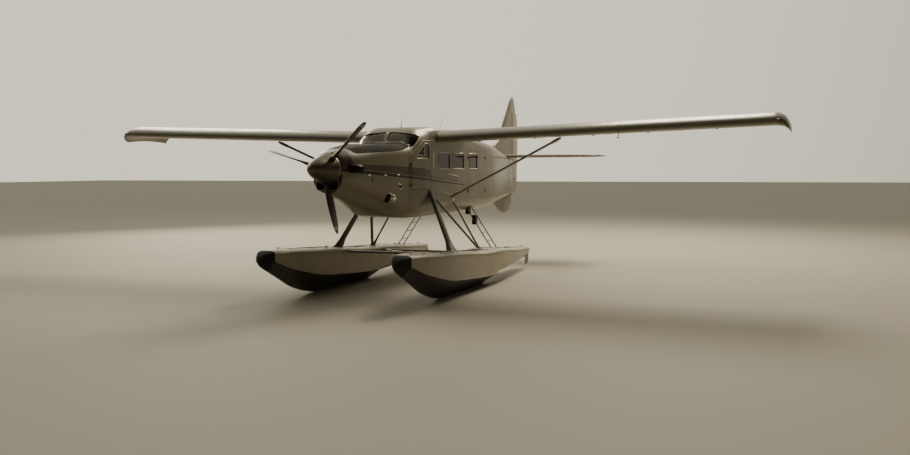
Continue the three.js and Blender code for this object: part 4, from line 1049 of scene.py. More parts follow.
for label, side in SIDES:
    strip = pane(side_prism(shrunk(WINDOW_STRIP, SEAT_GAP), side))
    dress(f"window_strip_{label}", strip, "glass", GLASS, [f"cabin_glass_{label}"])
    shield = pane(windshield_tool(side, SEAT_GAP))
    dress(f"windshield_pane_{label}", shield, "glass", GLASS, [f"windshield_{label}"])
    edge = refined(rounded([(side * x, z) for x, z in WINDSHIELD], WINDSHIELD_CORNER), 40)
    rim = piping([[(x, windshield_y(x, z), z) for x, z in edge]], 11)
    dress(f"windshield_rim_{label}", rim, "cream_paint", RIM_METAL)
    for number, window in enumerate(CABIN_WINDOWS, 1):
        rim = piping([on_side(rounded(window, WINDOW_CORNER), side, -1)], 9)
        dress(f"window_rim_{number}_{label}", rim, "bare_metal", RIM_METAL)

# Doors
# Two cockpit doors, two cabin doors and the cargo door beside the port one, each a stiff leaf in
# the skin's curve. Each hangs on two strap hinges with pins outside the skin, and has a lever handle;
# all but the cargo door have a window in a rim of bright metal.
HINGE = {"length": 34, "strap": 62, "plate": 5, "root": 26}
# The pin's place along and across the aircraft, its radius, and the heights of the two hinges
DOOR_HINGES = {"cockpit_door": (-1320, 761.5, 9, (-1080, -620)),
               "cabin_door": (2250, 808.25, 9, (-1300, -420)),
               "cargo_door": (3680, 771.38, 5, (-1300, -420))}
HANDLES = {"cockpit_door": (-410, -800), "cabin_door": (2985, -900), "cargo_door": (3180, -900)}
# Columns: how far out of the skin, radius
HANDLE_PLATE = ((-6, 26), (3, 26), (5, 22))
WINDOW_DIVIDER = [(-696, -492), (-668, -492), (-668, -112), (-696, -150)]
RUNNING_GAP, KNUCKLE_GAP = 9, 0.3


def rod(start, end, radius, sides=16):
    return skin(tube_rings([Vector(start), Vector(end)], radius, sides))


def knuckle(side, x, y, z0, z1, way, radius):
    """Half a hinge: its barrel round the pin, its plate on the skin and the root let into the skin."""
    near = x - side * (radius - HINGE["plate"])
    plate = box_body(*sorted((near, x - side * radius)), *sorted((y, y + way * HINGE["strap"])), z0, z1)
    root = box_body(*sorted((near, x - side * HINGE["root"])),
                    *sorted((y + way * RUNNING_GAP, y + way * HINGE["strap"])), z0, z1)
    return [rod((x, y, z0), (x, y, z1), radius), plate, root]


for name, door, sides in DOORS:
    hinge_y, pin_x, pin, levels = DOOR_HINGES[name]
    length = HINGE["length"]
    away = 1 if sum(y for y, _ in door["outline"]) / len(door["outline"]) > hinge_y else -1
    for label, side in sides:
        leaf = carve(hull_sheet(0, WALL, -1600, 4000), "INTERSECT",
                     side_tool(shrunk(door["outline"], door["gap"]), side, door["corner"]))
        body = f"{name}_{label}"
        if door["window"]:
            carve(leaf, "DIFFERENCE", side_tool(door["window"], side, door["corner"]))
            window = side_tool(shrunk(door["window"], -0.2), side, door["corner"])
            glass = pane(window)
            dress(f"{name}_pane_{label}", glass, "glass", GLASS, [f"{name}_glass_{label}"], body=body)
            if name == "cockpit_door":
                bar = carve(hull_sheet(-4, GLASS_DEPTH - 1, -1300, 0), "INTERSECT",
                            side_tool(WINDOW_DIVIDER, side, 2))
                dress(f"cockpit_window_divider_{label}", bar, "bare_metal", RIM_METAL, body=body)
            edge = on_side(rounded(door["window"], door["corner"]), side, -1)
            dress(f"{name}_window_rim_{label}", piping([edge], 9), "bare_metal", RIM_METAL, body=body)
        dress(f"{name}_leaf_{label}", leaf, "cream_paint", HULL_PAINT, [body], body=body)
        axis = side * pin_x
        fixed = [part for z in levels for part in knuckle(side, axis, hinge_y, z - length, z, -away, pin)]
        moving = [part for z in levels
                  for part in knuckle(side, axis, hinge_y, z + KNUCKLE_GAP, z + length, away, pin)]
        dress(f"{name}_hinge_fixed_{label}", joined(*fixed), "cream_paint", DULL_METAL)
        dress(f"{name}_hinge_leaf_{label}", joined(*moving), "cream_paint", DULL_METAL, body=body)
        y, z = HANDLES[name]
        x = side * hull_x(y, z)
        grip = tube([(x, y, z), (x + side * 26, y - away * 4, z), (x + side * 32, y - away * 40, z),
                     (x + side * 30, y - away * 110, z)], 8, 12, 5)
        plate = skin([[to_frame(x + side * d, y + r * math.cos(a), z + r * math.sin(a))
                       for a in turns(24)] for d, r in HANDLE_PLATE])
        dress(f"{name}_handle_{label}", joined(grip, plate), "bare_metal", DULL_METAL, body=body)

# Skin fittings
# Small parts screwed to the skin: cowl latches, a slotted drain, the pipe end behind each outlet,
# a hand rail on each side and gutters over the cockpit doors, all of metal, and whip antennas and
# a blade antenna of rubber-covered steel.
LATCHES = [(-3013, -852), (-2420, -852), (-1880, -852)]
# The latch's base, then its lever. Columns: reach forward and back, half height, corner, height off the skin
LATCH_PLATES = ((46, 46, 13, 10, 4), (30, 34, 7, 6, 9))
DRAIN_SLOT = (-2917, -2895, -1009, -868)
# The pipe end's place on the cowl, its reach along and up, and how far it stands out
PIPE_END, PIPE_END_REACH, PIPE_END_OUT = (-2088, -1374), (96, 92), 34
POST_COVER = (-166, -76, -700, -300)
HAND_RAIL = [(768, -849), (1527, -930)]
LEG_FITTINGS = [(-330, -1290), (1185, -1545)]
GUTTER = [(-1352, -416), (-702, -50), (-30, -50)]
BELLY_STRIP = [(-2104, -1617), (-1460, -1640)]
# Columns: foot y, foot z, tip y, tip z, foot radius
WHIPS = [(-233, 283, -201, 491, 9), (2085, 208, 2513, 731, 8)]
# Columns: share of the whip's length, share of its foot radius
WHIP_TAPER = ((0, 1.6), (0.12, 1.5), (0.2, 0.8), (0.6, 0.55), (1, 0.35))
# Columns: height over the root, sweep, half length, half width
BLADE_ANTENNA, BLADE_ANTENNA_ROWS = (3300, 110), [(-14, 0, 90, 14), (30, 16, 78, 12), (120, 52, 56, 8),
                                                  (172, 74, 40, 5), (180, 80, 26, 2)]


def line_on_side(points, side, proud=0.0, width_at=hull_x, step=60):
    """An open line of y, z points laid on a side."""
    line = []
    for (y0, z0), (y1, z1) in zip(points, points[1:]):
        count = max(1, math.ceil(math.hypot(y1 - y0, z1 - z0) / step))
        line += [(y0 + (y1 - y0) * k / count, z0 + (z1 - z0) * k / count) for k in range(count)]
    return [Vector((side * (width_at(y, z) + proud), y, z)) for y, z in [*line, points[-1]]]


def side_plate(outline, side, width_at, proud=4.0):
    """A thin plate laid on a side, its outline in y, z, its lower edge a little under the skin."""
    line = refined(outline, 40)
    inner = shrunk(line, 1.5)
    return skin([[to_frame(side * (width_at(y, z) + out), y, z) for y, z in ring]
                 for out, ring in ((-3, line), (proud - 1.5, line), (proud, inner))], seam=1e-6)


def blister(centre, reach, out, side, width_at, steps=7):
    """A domed cover on a side: an oval in y, z that rises off the skin."""
    rings = []
    for k in range(steps + 1):
        a = math.radians(86 * k / steps)
        half_long, half_high = reach[0] * math.cos(a), reach[1] * math.cos(a)
        ring = [(centre[0] + half_long * math.cos(t), centre[1] + half_high * math.sin(t)) for t in turns(32)]
        rings.append([to_frame(side * (width_at(y, z) - 5 + out * math.sin(a)), y, z) for y, z in ring])
    return skin(rings)


def button(x, y, z, rows, sides, oval=1.0):
    """A round boss that stands on a place. Columns: height over it, radius."""
    return skin([[to_frame(x + r * math.cos(a), y + oval * r * math.sin(a), z + up)
                  for a in turns(sides)] for up, r in rows])


for label, side in SIDES:
    latches = [side_plate(oblong(y - ahead, y + back, z - half, z + half, corner, 3), side, cowl_x, out)
               for ahead, back, half, corner, out in LATCH_PLATES for y, z in LATCHES]
    dress(f"cowl_latches_{label}", joined(*latches), "bare_metal", RIM_METAL)
    # The drain slot is a thin near-black plate on the cowl: painted shade where the slot opens
    drain = side_plate(oblong(*DRAIN_SLOT, 10, 4), side, cowl_x, 3)
    dress(f"drain_slot_{label}", drain, "dark_trim", DUCT_SHADE)
    pipe_end = blister(PIPE_END, PIPE_END_REACH, PIPE_END_OUT, side, cowl_x)
    dress(f"outlet_pipe_end_{label}", pipe_end, "polished_metal", POLISHED)
    cover = side_plate(oblong(*POST_COVER, 18, 3), side, hull_x, 3)
    dress(f"post_cover_{label}", cover, "bare_metal", RIM_METAL)
    (y0, z0), (y1, z1) = HAND_RAIL
    x = HULL_SECTIONS[4][1]
    path = [(x - 3, y0, z0), (x + 22, y0 + 24, z0 - 3), (x + 26, y0 + 60, z0 - 6),
            (x + 26, y1 - 60, z1 + 6), (x + 22, y1 - 24, z1 + 3), (x - 3, y1, z1)]
    dress(f"hand_rail_{label}", tube(mirrored(path, side), 8, 12, 6), "bare_metal", RIM_METAL)
    plates = []
    for y, z in LEG_FITTINGS:
        plates.append(side_plate(oblong(y - 95, y + 95, z - 70, z + 70, 34, 4), side, hull_x, 5))
        plates += [side_plate(circle((y + a, z + b), 9, 12), side, hull_x, 11)
                   for a in (-72, 72) for b in (-48, 0, 48)]
    dress(f"leg_fittings_{label}", joined(*plates), "bare_metal", RIM_METAL)
    lines = [line_on_side(GUTTER, side, 1), line_on_side(BELLY_STRIP, side, 1, cowl_x)]
    strips = piping(lines, 6, 8, closed=False)
    dress(f"gutter_and_strip_{label}", strips, "bare_metal", RIM_METAL)

antennas = []
for foot_y, foot_z, tip_y, tip_z, radius in WHIPS:
    foot, tip = Vector((0, foot_y, foot_z - 12)), Vector((0, tip_y, tip_z))
    path = [foot + (tip - foot) * t for t, _ in WHIP_TAPER]
    antennas.append(skin(tube_rings(path, [radius * share for _, share in WHIP_TAPER], 12)))
    antennas.append(button(0, foot_y, foot_z, ((-16, 40), (5, 40), (9, 34)), 24, 1.3))
root_y, root_z = BLADE_ANTENNA
antennas.append(skin([
    [to_frame(math.sin(a) * wide, root_y + sweep + math.cos(a) * long, root_z + up) for a in turns(24)]
    for up, sweep, long, wide in BLADE_ANTENNA_ROWS]))
dress("roof_antennas", joined(*antennas), "rubber", BLACK_RUBBER)

# Wings
# Two riveted aluminium panels with drooped tips and a little dihedral, their hinged surfaces let into coves.
# Each is held by one streamlined strut to the fuselage's side.
ROOT_X, SEMI_SPAN, CHORD = 800, 8840, 1980
DIHEDRAL = math.tan(math.radians(2))
AIRFOIL_THICKNESS, CAMBER, CAMBER_AT = 0.15, 0.04, 0.4
# Columns: x, leading edge y, thickness scale, droop
WING_SECTIONS = [(800.3, 0, 1, 0), (8500, 0, 1, 0), (8690, 45, 0.86, 45), (8790, 150, 0.62, 135),
                 (SEMI_SPAN, 330, 0.3, 215)]
TIP_STATIONS = [8560, 8620, 8670, 8710, 8745, 8775, 8800, 8820, 8834, SEMI_SPAN]
SURFACE_HINGE = {"y": 1430, "z": 56.7, "nose": 82, "cove": 95}
FLAP_SPAN, AILERON_SPAN = (900, 4893), (4907, 8500)
# Columns: name, span, degrees down, degrees up
SURFACES = (("flap", FLAP_SPAN, 60, 0), ("aileron", AILERON_SPAN, 20, 20))
HINGE_RIB_AFT, END_GAP, PIN_RADIUS, PIN_GAP = 60, 8, 12, 0.6
STRUT_BOTTOM, STRUT_TOP, STRUT_CHORD, STRUT_THICK = (ROOT_X, 1070, -1430), (3750, 370, -40), 155, 62
# Columns: name, share of the strut's length where the cuff starts
STRUT_CUFFS, CUFF_LENGTH, CUFF_MORE = (("lower", 0.012), ("upper", 0.952)), 0.05, 22
FAIRING_TAPER = 0.3025
# The wings and struts take a darker copy of the hull's cream: painted shade under the wings
WING_PAINT_SHADED = paint_material("wing_paint_shaded", (0.19, 0.17, 0.124, 1), (0.11, 0.097, 0.069, 1), seam_axes="xy",
                            seams=(0.62, 0.66))


def airfoil(share):
    half = 5 * AIRFOIL_THICKNESS * (0.2969 * math.sqrt(share) - 0.126 * share - 0.3516 * share ** 2
                                    + 0.2843 * share ** 3 - 0.1036 * share ** 4) + 0.002 * share
    reach = CAMBER_AT if share < CAMBER_AT else 1 - CAMBER_AT
    rise = 2 * CAMBER_AT * share - share ** 2
    return half, CAMBER / reach ** 2 * (rise if share < CAMBER_AT else 1 - 2 * CAMBER_AT + rise)


def raised(side, x, y, z):
    """A place on a level wing lifted by the dihedral."""
    return to_frame(side * x, y, z + (x - ROOT_X) * DIHEDRAL)


def wing_ring(side, row, steps=26, grow=0.0):
    """One section of the wing at a row of the wing's table, from its rear over the top and back under it."""
    x, lead, scale, droop = row
    top, low = [], []
    for i in range(steps + 1):
        share = (1 - math.cos(math.pi * i / steps)) / 2
        half, line = airfoil(share)
        y = lead + share * (CHORD - lead)
        top.append(raised(side, x, y, CHORD * (line + half * scale) - droop + grow))
        low.append(raised(side, x, y, CHORD * (line - half * scale) - droop - grow))
    return top + low[1:][::-1]


def wing_body(side):
    places = stations(WING_SECTIONS[0][0], WING_SECTIONS[1][0], 340) + TIP_STATIONS
    return skin([wing_ring(side, between(WING_SECTIONS, x)) for x in places])


def along_span(outline, side, x0, x1):
    """A body whose outline of y, z points runs out along the wing, rising with it."""
    return skin([[raised(side, x, y, z) for y, z in outline] for x in (x0, x1)], seam=1e-7)


def cove_outline(down, upward):
    """The room that a surface needs round its nose and behind it, as far as it turns."""
    y, z, radius = SURFACE_HINGE["y"], SURFACE_HINGE["z"], SURFACE_HINGE["cove"]
    arc = [(math.cos(a), math.sin(a)) for a in np.radians(np.linspace(90 + upward, 270 - down, 20))]
    rim = [(y + radius * c, z + radius * s) for c, s in arc]
    (c0, s0), (c1, s1) = arc[0], arc[-1]
    start = (rim[0][0] + 400 * s0, rim[0][1] - 400 * c0)
    end = (rim[-1][0] - 400 * s1, rim[-1][1] + 400 * c1)
    return [(y + 900, z + 500), start, *rim, end, (y + 900, z - 500)]


def behind_rib(side, x0, x1, y0):
    return along_span(corners(y0, CHORD + 50, -500, 800), side, x0, x1)


hinge_y, hinge_z = SURFACE_HINGE["y"], SURFACE_HINGE["z"]
for label, side in SIDES:
    tools = [along_span(cove_outline(down, upward), side, *span) for _, span, down, upward in SURFACES]
    tools.append(behind_rib(side, FLAP_SPAN[1] - 1, AILERON_SPAN[0] + 1, hinge_y + HINGE_RIB_AFT))
    wing = carve(wing_body(side), "DIFFERENCE", *tools)
    dress(f"wing_panel_{label}", wing, "cream_paint", WING_PAINT_SHADED, [f"wing_{label}"])
    for name, (inner, outer), _, _ in SURFACES:
        axis_ring = circle((hinge_y, hinge_z), SURFACE_HINGE["nose"], 40)
        nose = along_span(axis_ring, side, inner + END_GAP, outer - END_GAP)
        reach = carve(behind_rib(side, inner + END_GAP, outer - END_GAP, hinge_y), "UNION", nose)
        blade = carve(wing_body(side), "INTERSECT", reach)
        pin = along_span(circle((hinge_y, hinge_z), PIN_RADIUS, 16), side, inner + PIN_GAP, outer - PIN_GAP)
        piece = joined(blade, pin)
        node = f"{name}_{label}"
        dress(f"{name}_skin_{label}", piece, "cream_paint", WING_PAINT_SHADED, [node], body=node)


def fairing_ring(centre, thick_way, chord, thick):
    """A streamlined section: round in front, drawn out behind."""
    ring = []
    for a in turns(28):
        along = -math.cos(a)
        half = math.sin(a) * (1 - FAIRING_TAPER * max(0, along) ** 1.5)
        ring.append(to_frame(*(centre + AFT * along * chord / 2 + thick_way * half * thick / 2)))
    return ring


def fairing(start, end, chord, thick, thick_way, count, swell=0.0):
    """A strut between two places, fuller and fuller towards its end."""
    rings = []
    for i in range(count + 1):
        t = i / count
        full = 1 + swell * t
        rings.append(fairing_ring(start + (end - start) * t, thick_way, chord * full, thick * full))
    return skin(rings)


for label, side in SIDES:
    bottom, top = mirrored((STRUT_BOTTOM, STRUT_TOP), side)
    reach = top - bottom
    strut = fairing(bottom - reach * 0.02, top + reach * 0.02, STRUT_CHORD, STRUT_THICK, UP, 24)
    carve(strut, "DIFFERENCE", hull_body(-SEAT_GAP, 0, 2600), wing_body(side))
    dress(f"wing_strut_skin_{label}", strut, "cream_paint", WING_PAINT_SHADED, [f"wing_strut_{label}"])
    for name, share in STRUT_CUFFS:
        ends = [bottom + reach * part for part in (share, share + CUFF_LENGTH)]
        cuff = fairing(*ends, STRUT_CHORD + CUFF_MORE, STRUT_THICK + CUFF_MORE, UP, 4)
        carve(cuff, "DIFFERENCE", hull_body(-SEAT_GAP, 0, 2600), wing_body(side))
        dress(f"wing_strut_cuff_{name}_{label}", cuff, "bare_metal", DULL_METAL)


def wing_spot(side, x, share, face):
    """A place on the wing's skin, over (1) or under (-1), and the way out of it."""
    def place(along, part):
        half, line = airfoil(part)
        _, lead, scale, droop = between(WING_SECTIONS, along)
        return raised(side, along, lead + part * (CHORD - lead), CHORD * (line + face * half * scale) - droop)
    here = place(x, share)
    out = (place(x + 5, share) - here).cross(place(x, share + 0.004) - here).normalized()
    return here, (out if out.z * face > 0 else -out)


WING_RIBS = [900 + 400 * i for i in range(20)]
SPAR_SHARES = (0.15, 0.38, 0.635)
RIB_SHARES, REAR_RIB_SHARES = np.arange(0.04, 0.65, 0.032), np.arange(0.79, 0.975, 0.03)
RIVET_STEP = 64
ROOT_BEAD = ([(share, 1) for share in np.linspace(0.66, 0.01, 24)]
             + [(share, -1) for share in np.linspace(0, 0.66, 24)])
ROOT_FILLET = ((700, 4), (804, 4), (812, 0.5))
# Columns: share of the chord, radius there
HINGE_COVER = ((0.50, 4), (0.53, 15), (0.57, 24), (0.62, 27), (0.655, 22))
HINGE_COVERS = (1500, 2950, 4400, 5700, 7250)
INSPECTION_COVERS, INSPECTION_SHARE, WICKS = (2100, 3300, 4900, 6500), 0.28, (6900, 7600, 8300)


def wing_rivets(side, places, shares):
    return [wing_spot(side, x, share, face) for x in places for share in shares for face in (1, -1)]


for label, side in SIDES:
    spots = wing_rivets(side, WING_RIBS, RIB_SHARES)
    spots += wing_rivets(side, np.arange(930, 8480, RIVET_STEP), SPAR_SHARES)
    rivets(f"wing_rivets_{label}", spots, WING_PAINT_SHADED)
    for name, (inner, outer), _, _ in SURFACES:
        spots = wing_rivets(side, [x for x in WING_RIBS if inner + 30 < x < outer - 30], REAR_RIB_SHARES)
        spots += wing_rivets(side, np.arange(inner + 40, outer - 30, RIVET_STEP), (0.765,))
        rivets(f"{name}_rivets_{label}", spots, WING_PAINT_SHADED, body=f"{name}_{label}")
    bead = [from_frame(wing_spot(side, 808, share, face)[0]) for share, face in ROOT_BEAD]
    beading = piping([bead], 10, 8, closed=False)
    dress(f"wing_root_bead_{label}", beading, "cream_paint", WING_PAINT_SHADED)
    fillet = skin([wing_ring(side, (x, 0, 1, 0), grow=up) for x, up in ROOT_FILLET])
    carve(fillet, "DIFFERENCE", cabin_space(-1))
    dress(f"wing_root_fillet_{label}", fillet, "cream_paint", WING_PAINT_SHADED)
    covers = []
    for x in HINGE_COVERS:
        path = [Vector(from_frame(wing_spot(side, x, share, -1)[0])) for share, _ in HINGE_COVER]
        covers.append(skin(tube_rings(path, [radius for _, radius in HINGE_COVER])))
    dress(f"hinge_covers_{label}", joined(*covers), "cream_paint", WING_PAINT_SHADED)
    caps = []
    for x in INSPECTION_COVERS:
        place, out = wing_spot(side, x, INSPECTION_SHARE, -1)
        across = out.orthogonal().normalized()
        along = out.cross(across)
        spokes = [across * math.cos(a) + along * math.sin(a) for a in turns(32)]
        caps.append(skin([[place + out * h + spoke * r for spoke in spokes]
                          for h, r in ((-0.006, 0.075), (0.0015, 0.075), (0.003, 0.072))]))
    dress(f"inspection_covers_{label}", joined(*caps), "cream_paint", WING_PAINT_SHADED)
    wicks = []
    for x in WICKS:
        _, y, z = from_frame(wing_spot(side, x, 1.0, 1)[0])
        path = mirrored([(x, y - 24, z), (x, y + 30, z + 1), (x, y + 110, z + 3)], side)
        wicks.append(tube(path, [5, 4, 2], 8))
    dress(f"static_wicks_{label}", joined(*wicks), "dark_trim", BLACK_RUBBER, body=f"aileron_{label}")

# Lamps at the tips, and the pitot tube under the port wing
LENS_TINTS = {"port": (0.45, 0.02, 0.015, 1), "starboard": (0.02, 0.30, 0.08, 1)}
# Columns: metres along the lamp, its radius in metres there
TIP_LAMP = [(-0.062, 0.002), (-0.054, 0.012), (-0.03, 0.022), (0.01, 0.026),
            (0.04, 0.020), (0.056, 0.010), (0.060, 0.002)]
PITOT_X, PITOT_DROP = 5200, 190


def lens_material(name, tint, clear, smooth):
    """A moulded lamp glass, a little misted."""
    material, tree = new_material(name)
    mist = noise(tree, object_place(tree), 30.0)
    surface(tree, {"Base Color": tint, "Transmission Weight": clear, "IOR": 1.47,
                   "Roughness": ranged(tree, mist, smooth, 0.2)})
    return material


for label, side in SIDES:
    place = wing_spot(side, 8600, 0.004, 1)[0]
    rings = [[place + Vector((side * along, -out * math.cos(a) * 0.9, out * math.sin(a))) for a in turns(20)]
             for along, out in TIP_LAMP]
    lens = lens_material(f"tip_lens_{label}", LENS_TINTS[label], 0.6, 0.03)
    dress(f"tip_lamp_{label}", skin(rings), "glass", lens)
lift = (PITOT_X - ROOT_X) * DIHEDRAL
mast = skin([fairing_ring(Vector((PITOT_X, 170 - (z + 40) * 0.2, z + lift)), PORT, 70, 16)
             for z in (-40, -90, -140, -196)])
probe = tube([(PITOT_X, y, lift - PITOT_DROP) for y in (230, 190, -60, -130)], [4, 12, 11, 8])
dress("pitot_tube", joined(mast, probe), "bare_metal", RIM_METAL)

# Tail
# A high swept fin with a long fillet, a straight tailplane, and a fin of doubled sheet under the tail cone.
# Rudder and one-piece elevator hang on pins; all have pressed ribs under the skin, seen as shallow ridges.
TAILPLANE_Z, ELEVATOR_HINGE_Y, TAILPLANE_REAR_Y = -330, 8150, 8107
# Columns: x, leading edge y, half thickness at the thickest place, half thickness at the rear face
TAILPLANE_SECTIONS = [(0, 7070, 56, 34), (2900, 7250, 46, 30), (3120, 7330, 38, 26), (3220, 7560, 18, 14)]
# Columns: x, trailing edge y, hinge nose radius
ELEVATOR_SECTIONS = [(150, 8620, 33), (340, 8770, 33), (2950, 8740, 29), (3120, 8660, 26), (3210, 8430, 15)]
RUDDER_HINGE_Y, RUDDER_FLOOR_Z, RUDDER_TOP_Z = 8420, -1540, 1130
# Columns: z, trailing edge y, hinge nose radius
RUDDER_SECTIONS = [(RUDDER_FLOOR_Z, 8930, 34), (-1000, 9050, 38), (200, 9120, 40),
                   (700, 9112, 38), (RUDDER_TOP_Z, 8960, 32)]
# Columns: z, leading edge y, rear y, half thickness at the thickest place, half thickness at the rear
FIN_SECTIONS = [
    (-500, 5850, TAIL_POST_Y, 60, 42), (-130, 5930, TAIL_POST_Y, 58, 42), (20, 6620, TAIL_POST_Y, 56, 41),
    (250, 7180, TAIL_POST_Y, 54, 40), (600, 7430, TAIL_POST_Y, 50, 39),
    (RUDDER_TOP_Z + END_GAP, 7925, TAIL_POST_Y, 42, 35),
]
FIN_CAP_SECTIONS = [(RUDDER_TOP_Z + END_GAP, 7925, 8850, 42, 8), (1540, 8290, 8700, 30, 6),
                    (1642, 8440, 8610, 12, 4)]
FIN_STEPS = [(0.0, 0.0), (0.004, 0.22), (0.016, 0.42), (0.04, 0.62), (0.085, 0.80),
             (0.14, 0.92), (0.22, 0.98), (0.32, 1.0), (0.5, 1.0)]
# Columns: y, z
VENTRAL_FIN = [(6450, -1600), (6800, -1880), (7150, -2060), (7550, -2150), (7950, -2120), (8250, -1990),
               (8370, -1850), (8370, -1450)]
VENTRAL_HALF = 18
RUDDER_HORN = [(-118, 8428), (-118, 8452), (-20, 8520), (20, 8520), (118, 8452), (118, 8428)]
TRAILING_HALF = 5
RUDDER_HEEL = {"half": 22, "front": 8250, "rear": 8462, "bottom": -1600, "top": -1549}
TORQUE_TUBE_RADIUS = 25
TAIL_PAINT = paint_material("tail_paint", CREAM, CREAM_WORN, seam_axes="zy", seams=(0.52, 0.9))


def fin_outline(lead, rear, half, rear_half):
    full = [(lead + (rear - lead) * share, half * scale + (rear_half - half) * max(0, (share - 0.32) / 0.68))
            for share, scale in FIN_STEPS]
    side = [*full, (rear, rear_half)]
    return side + [(y, -t) for y, t in side[1:][::-1]]


def surface_outline(hinge, trail, nose):
    """A hinged surface's section: round at the hinge, straight to a narrow trailing edge."""
    arc = [(hinge + nose * math.cos(a), nose * math.sin(a)) for a in np.radians(np.arange(90, 271, 12))]
    return [*arc, (trail - 6, -TRAILING_HALF), (trail, -TRAILING_HALF * 0.4), (trail, TRAILING_HALF * 0.4),
            (trail - 6, TRAILING_HALF)]


def upright(outline, rows):
    """A body of sections stacked upwards. Columns: z, then what their outline takes."""
    return skin([[to_frame(x, y, z) for y, x in outline(*row)] for z, *row in rows])


def plate_between(outline, low, high, edge, bevel=6):
    """A plate of y, z points across the aircraft with bevelled edges."""
    rows = ((low, bevel), (low + edge, 0), (high - edge, 0), (high, bevel))
    return skin([[to_frame(x, y, z) for y, z in shrunk(outline, inset)] for x, inset in rows])


ventral_edge = [tuple(point) for point in smooth_path(VENTRAL_FIN[:7], 5)] + [VENTRAL_FIN[7]]
ventral = plate_between(ventral_edge, -VENTRAL_HALF, VENTRAL_HALF, 6, 5)
heel = box_body(-RUDDER_HEEL["half"], RUDDER_HEEL["half"], RUDDER_HEEL["front"], RUDDER_HEEL["rear"],
                RUDDER_HEEL["bottom"], RUDDER_HEEL["top"])
dress("ventral_fin_and_heel", joined(ventral, heel), "cream_paint", TAIL_PAINT, ["tail_cone"])

places = stations(0, 2900, 240) + [3000, 3060, 3120, 3160, 3190, 3210, 3220]
rows = [between(TAILPLANE_SECTIONS, x) for x in places]
rows = [(-x, *row) for x, *row in rows[:0:-1]] + rows
tailplane = skin([
    [to_frame(x, y, TAILPLANE_Z + z) for y, z in fin_outline(lead, TAILPLANE_REAR_Y, half, rear)]
    for x, lead, half, rear in rows])
dress("tailplane", tailplane, "cream_paint", TAIL_PAINT, ["tailplane"])

fin_top = RUDDER_TOP_Z + END_GAP
fin_levels = stations(-500, fin_top, 90, *(row[0] for row in FIN_SECTIONS[1:-1]))
fin_rows = [between(FIN_SECTIONS, z) for z in fin_levels]
cap_rows = [between(FIN_CAP_SECTIONS, z) for z in stations(fin_top, 1642, 60, 1540)]
piece = joined(upright(fin_outline, fin_rows), upright(fin_outline, cap_rows))
dress("fin_skin", piece, "cream_paint", TAIL_PAINT, ["fin"])

halves = []
for _, side in SIDES:
    rows = [between(ELEVATOR_SECTIONS, x) for x in stations(150, 3210, 110, 340, 2950, 3120)]
    halves.append(skin([
        [to_frame(side * x, y, TAILPLANE_Z + z) for y, z in surface_outline(ELEVATOR_HINGE_Y, trail, nose)]
        for x, trail, nose in rows]))
cross_tube = rod((-200, ELEVATOR_HINGE_Y, TAILPLANE_Z), (200, ELEVATOR_HINGE_Y, TAILPLANE_Z),
                 TORQUE_TUBE_RADIUS, 24)
dress("elevator_skin", joined(*halves, cross_tube), "cream_paint", TAIL_PAINT, ["elevator"], body="elevator")

rows = [between(RUDDER_SECTIONS, z) for z in stations(RUDDER_FLOOR_Z, RUDDER_TOP_Z, 110)]
blade = upright(lambda trail, nose: surface_outline(RUDDER_HINGE_Y, trail, nose), rows)
pins = [rod((0, RUDDER_HINGE_Y, z0), (0, RUDDER_HINGE_Y, z1), PIN_RADIUS)
        for z0, z1 in ((RUDDER_HEEL["top"] + KNUCKLE_GAP, RUDDER_FLOOR_Z + 40),
                       (RUDDER_TOP_Z - 40, fin_top - KNUCKLE_GAP))]
dress("rudder_skin", joined(blade, *pins), "cream_paint", TAIL_PAINT, ["rudder"], body="rudder")


def surface_half(station, hinge, trail, nose):
    """Half thickness of a hinged tail surface behind its hinge line."""
    return nose + (TRAILING_HALF - nose) * (station - hinge) / (trail - 6 - hinge)


def fixed_half(lead, rear, half, rear_half, station):
    """Half thickness of the fin or the tailplane at a station."""
    share = (station - lead) / (rear - lead)
    return half * np.interp(share, *zip(*FIN_STEPS)) + (rear_half - half) * max(0, (share - 0.32) / 0.68)


ridges = []
for z in range(-1400, 1080, 175):
    _, trail, nose = between(RUDDER_SECTIONS, z)
    ridges += [[(face * surface_half(y, RUDDER_HINGE_Y, trail, nose), y, z)
                for y in (RUDDER_HINGE_Y + 16, trail - 20)] for face in (1, -1)]
dress("rudder_ribs", piping(ridges, 5, 8, closed=False), "cream_paint", TAIL_PAINT, body="rudder")
ridges = []
for x in range(400, 3100, 190):
    _, trail, nose = between(ELEVATOR_SECTIONS, x)
    ridges += [[(side * x, y, TAILPLANE_Z + face * surface_half(y, ELEVATOR_HINGE_Y, trail, nose))
                for y in (ELEVATOR_HINGE_Y + 16, trail - 20)] for side in (1, -1) for face in (1, -1)]
dress("elevator_ribs", piping(ridges, 5, 8, closed=False), "cream_paint", TAIL_PAINT, body="elevator")

fin_places = []
for z in range(-90, 1120, 165):
    lead, rear = between(FIN_SECTIONS, z)[1:3]
    fin_places += [(y, z) for y in np.arange(lead + 60, rear - 30, 60)]
fin_places += [(y, z) for z in np.arange(-180, 1110, 60) for y in (8080, 8330)]
spots = []
for y, z in fin_places:
    half = fixed_half(*between(FIN_SECTIONS, z)[1:], y)
    spots += [(to_frame(face * half, y, z), Vector((face, 0, 0))) for face in (1, -1)]
for x in range(240, 3080, 210):
    _, lead, half, rear_half = between(TAILPLANE_SECTIONS, x)
    for y in np.arange(lead + 60, TAILPLANE_REAR_Y - 30, 60):
        thick = fixed_half(lead, TAILPLANE_REAR_Y, half, rear_half, y)
        spots += [(to_frame(side * x, y, TAILPLANE_Z + face * thick), Vector((0, 0, face)))
                  for side in (1, -1) for face in (1, -1)]
rivets("tail_rivets", spots, TAIL_PAINT)
spots = [(to_frame(face * VENTRAL_HALF, y, z), Vector((face, 0, 0)))
         for face in (1, -1) for y in (7000, 7500, 8000) for z in range(-1640, -1930, -40)]
rivets("ventral_fin_rivets", spots, TAIL_PAINT, radius=5)
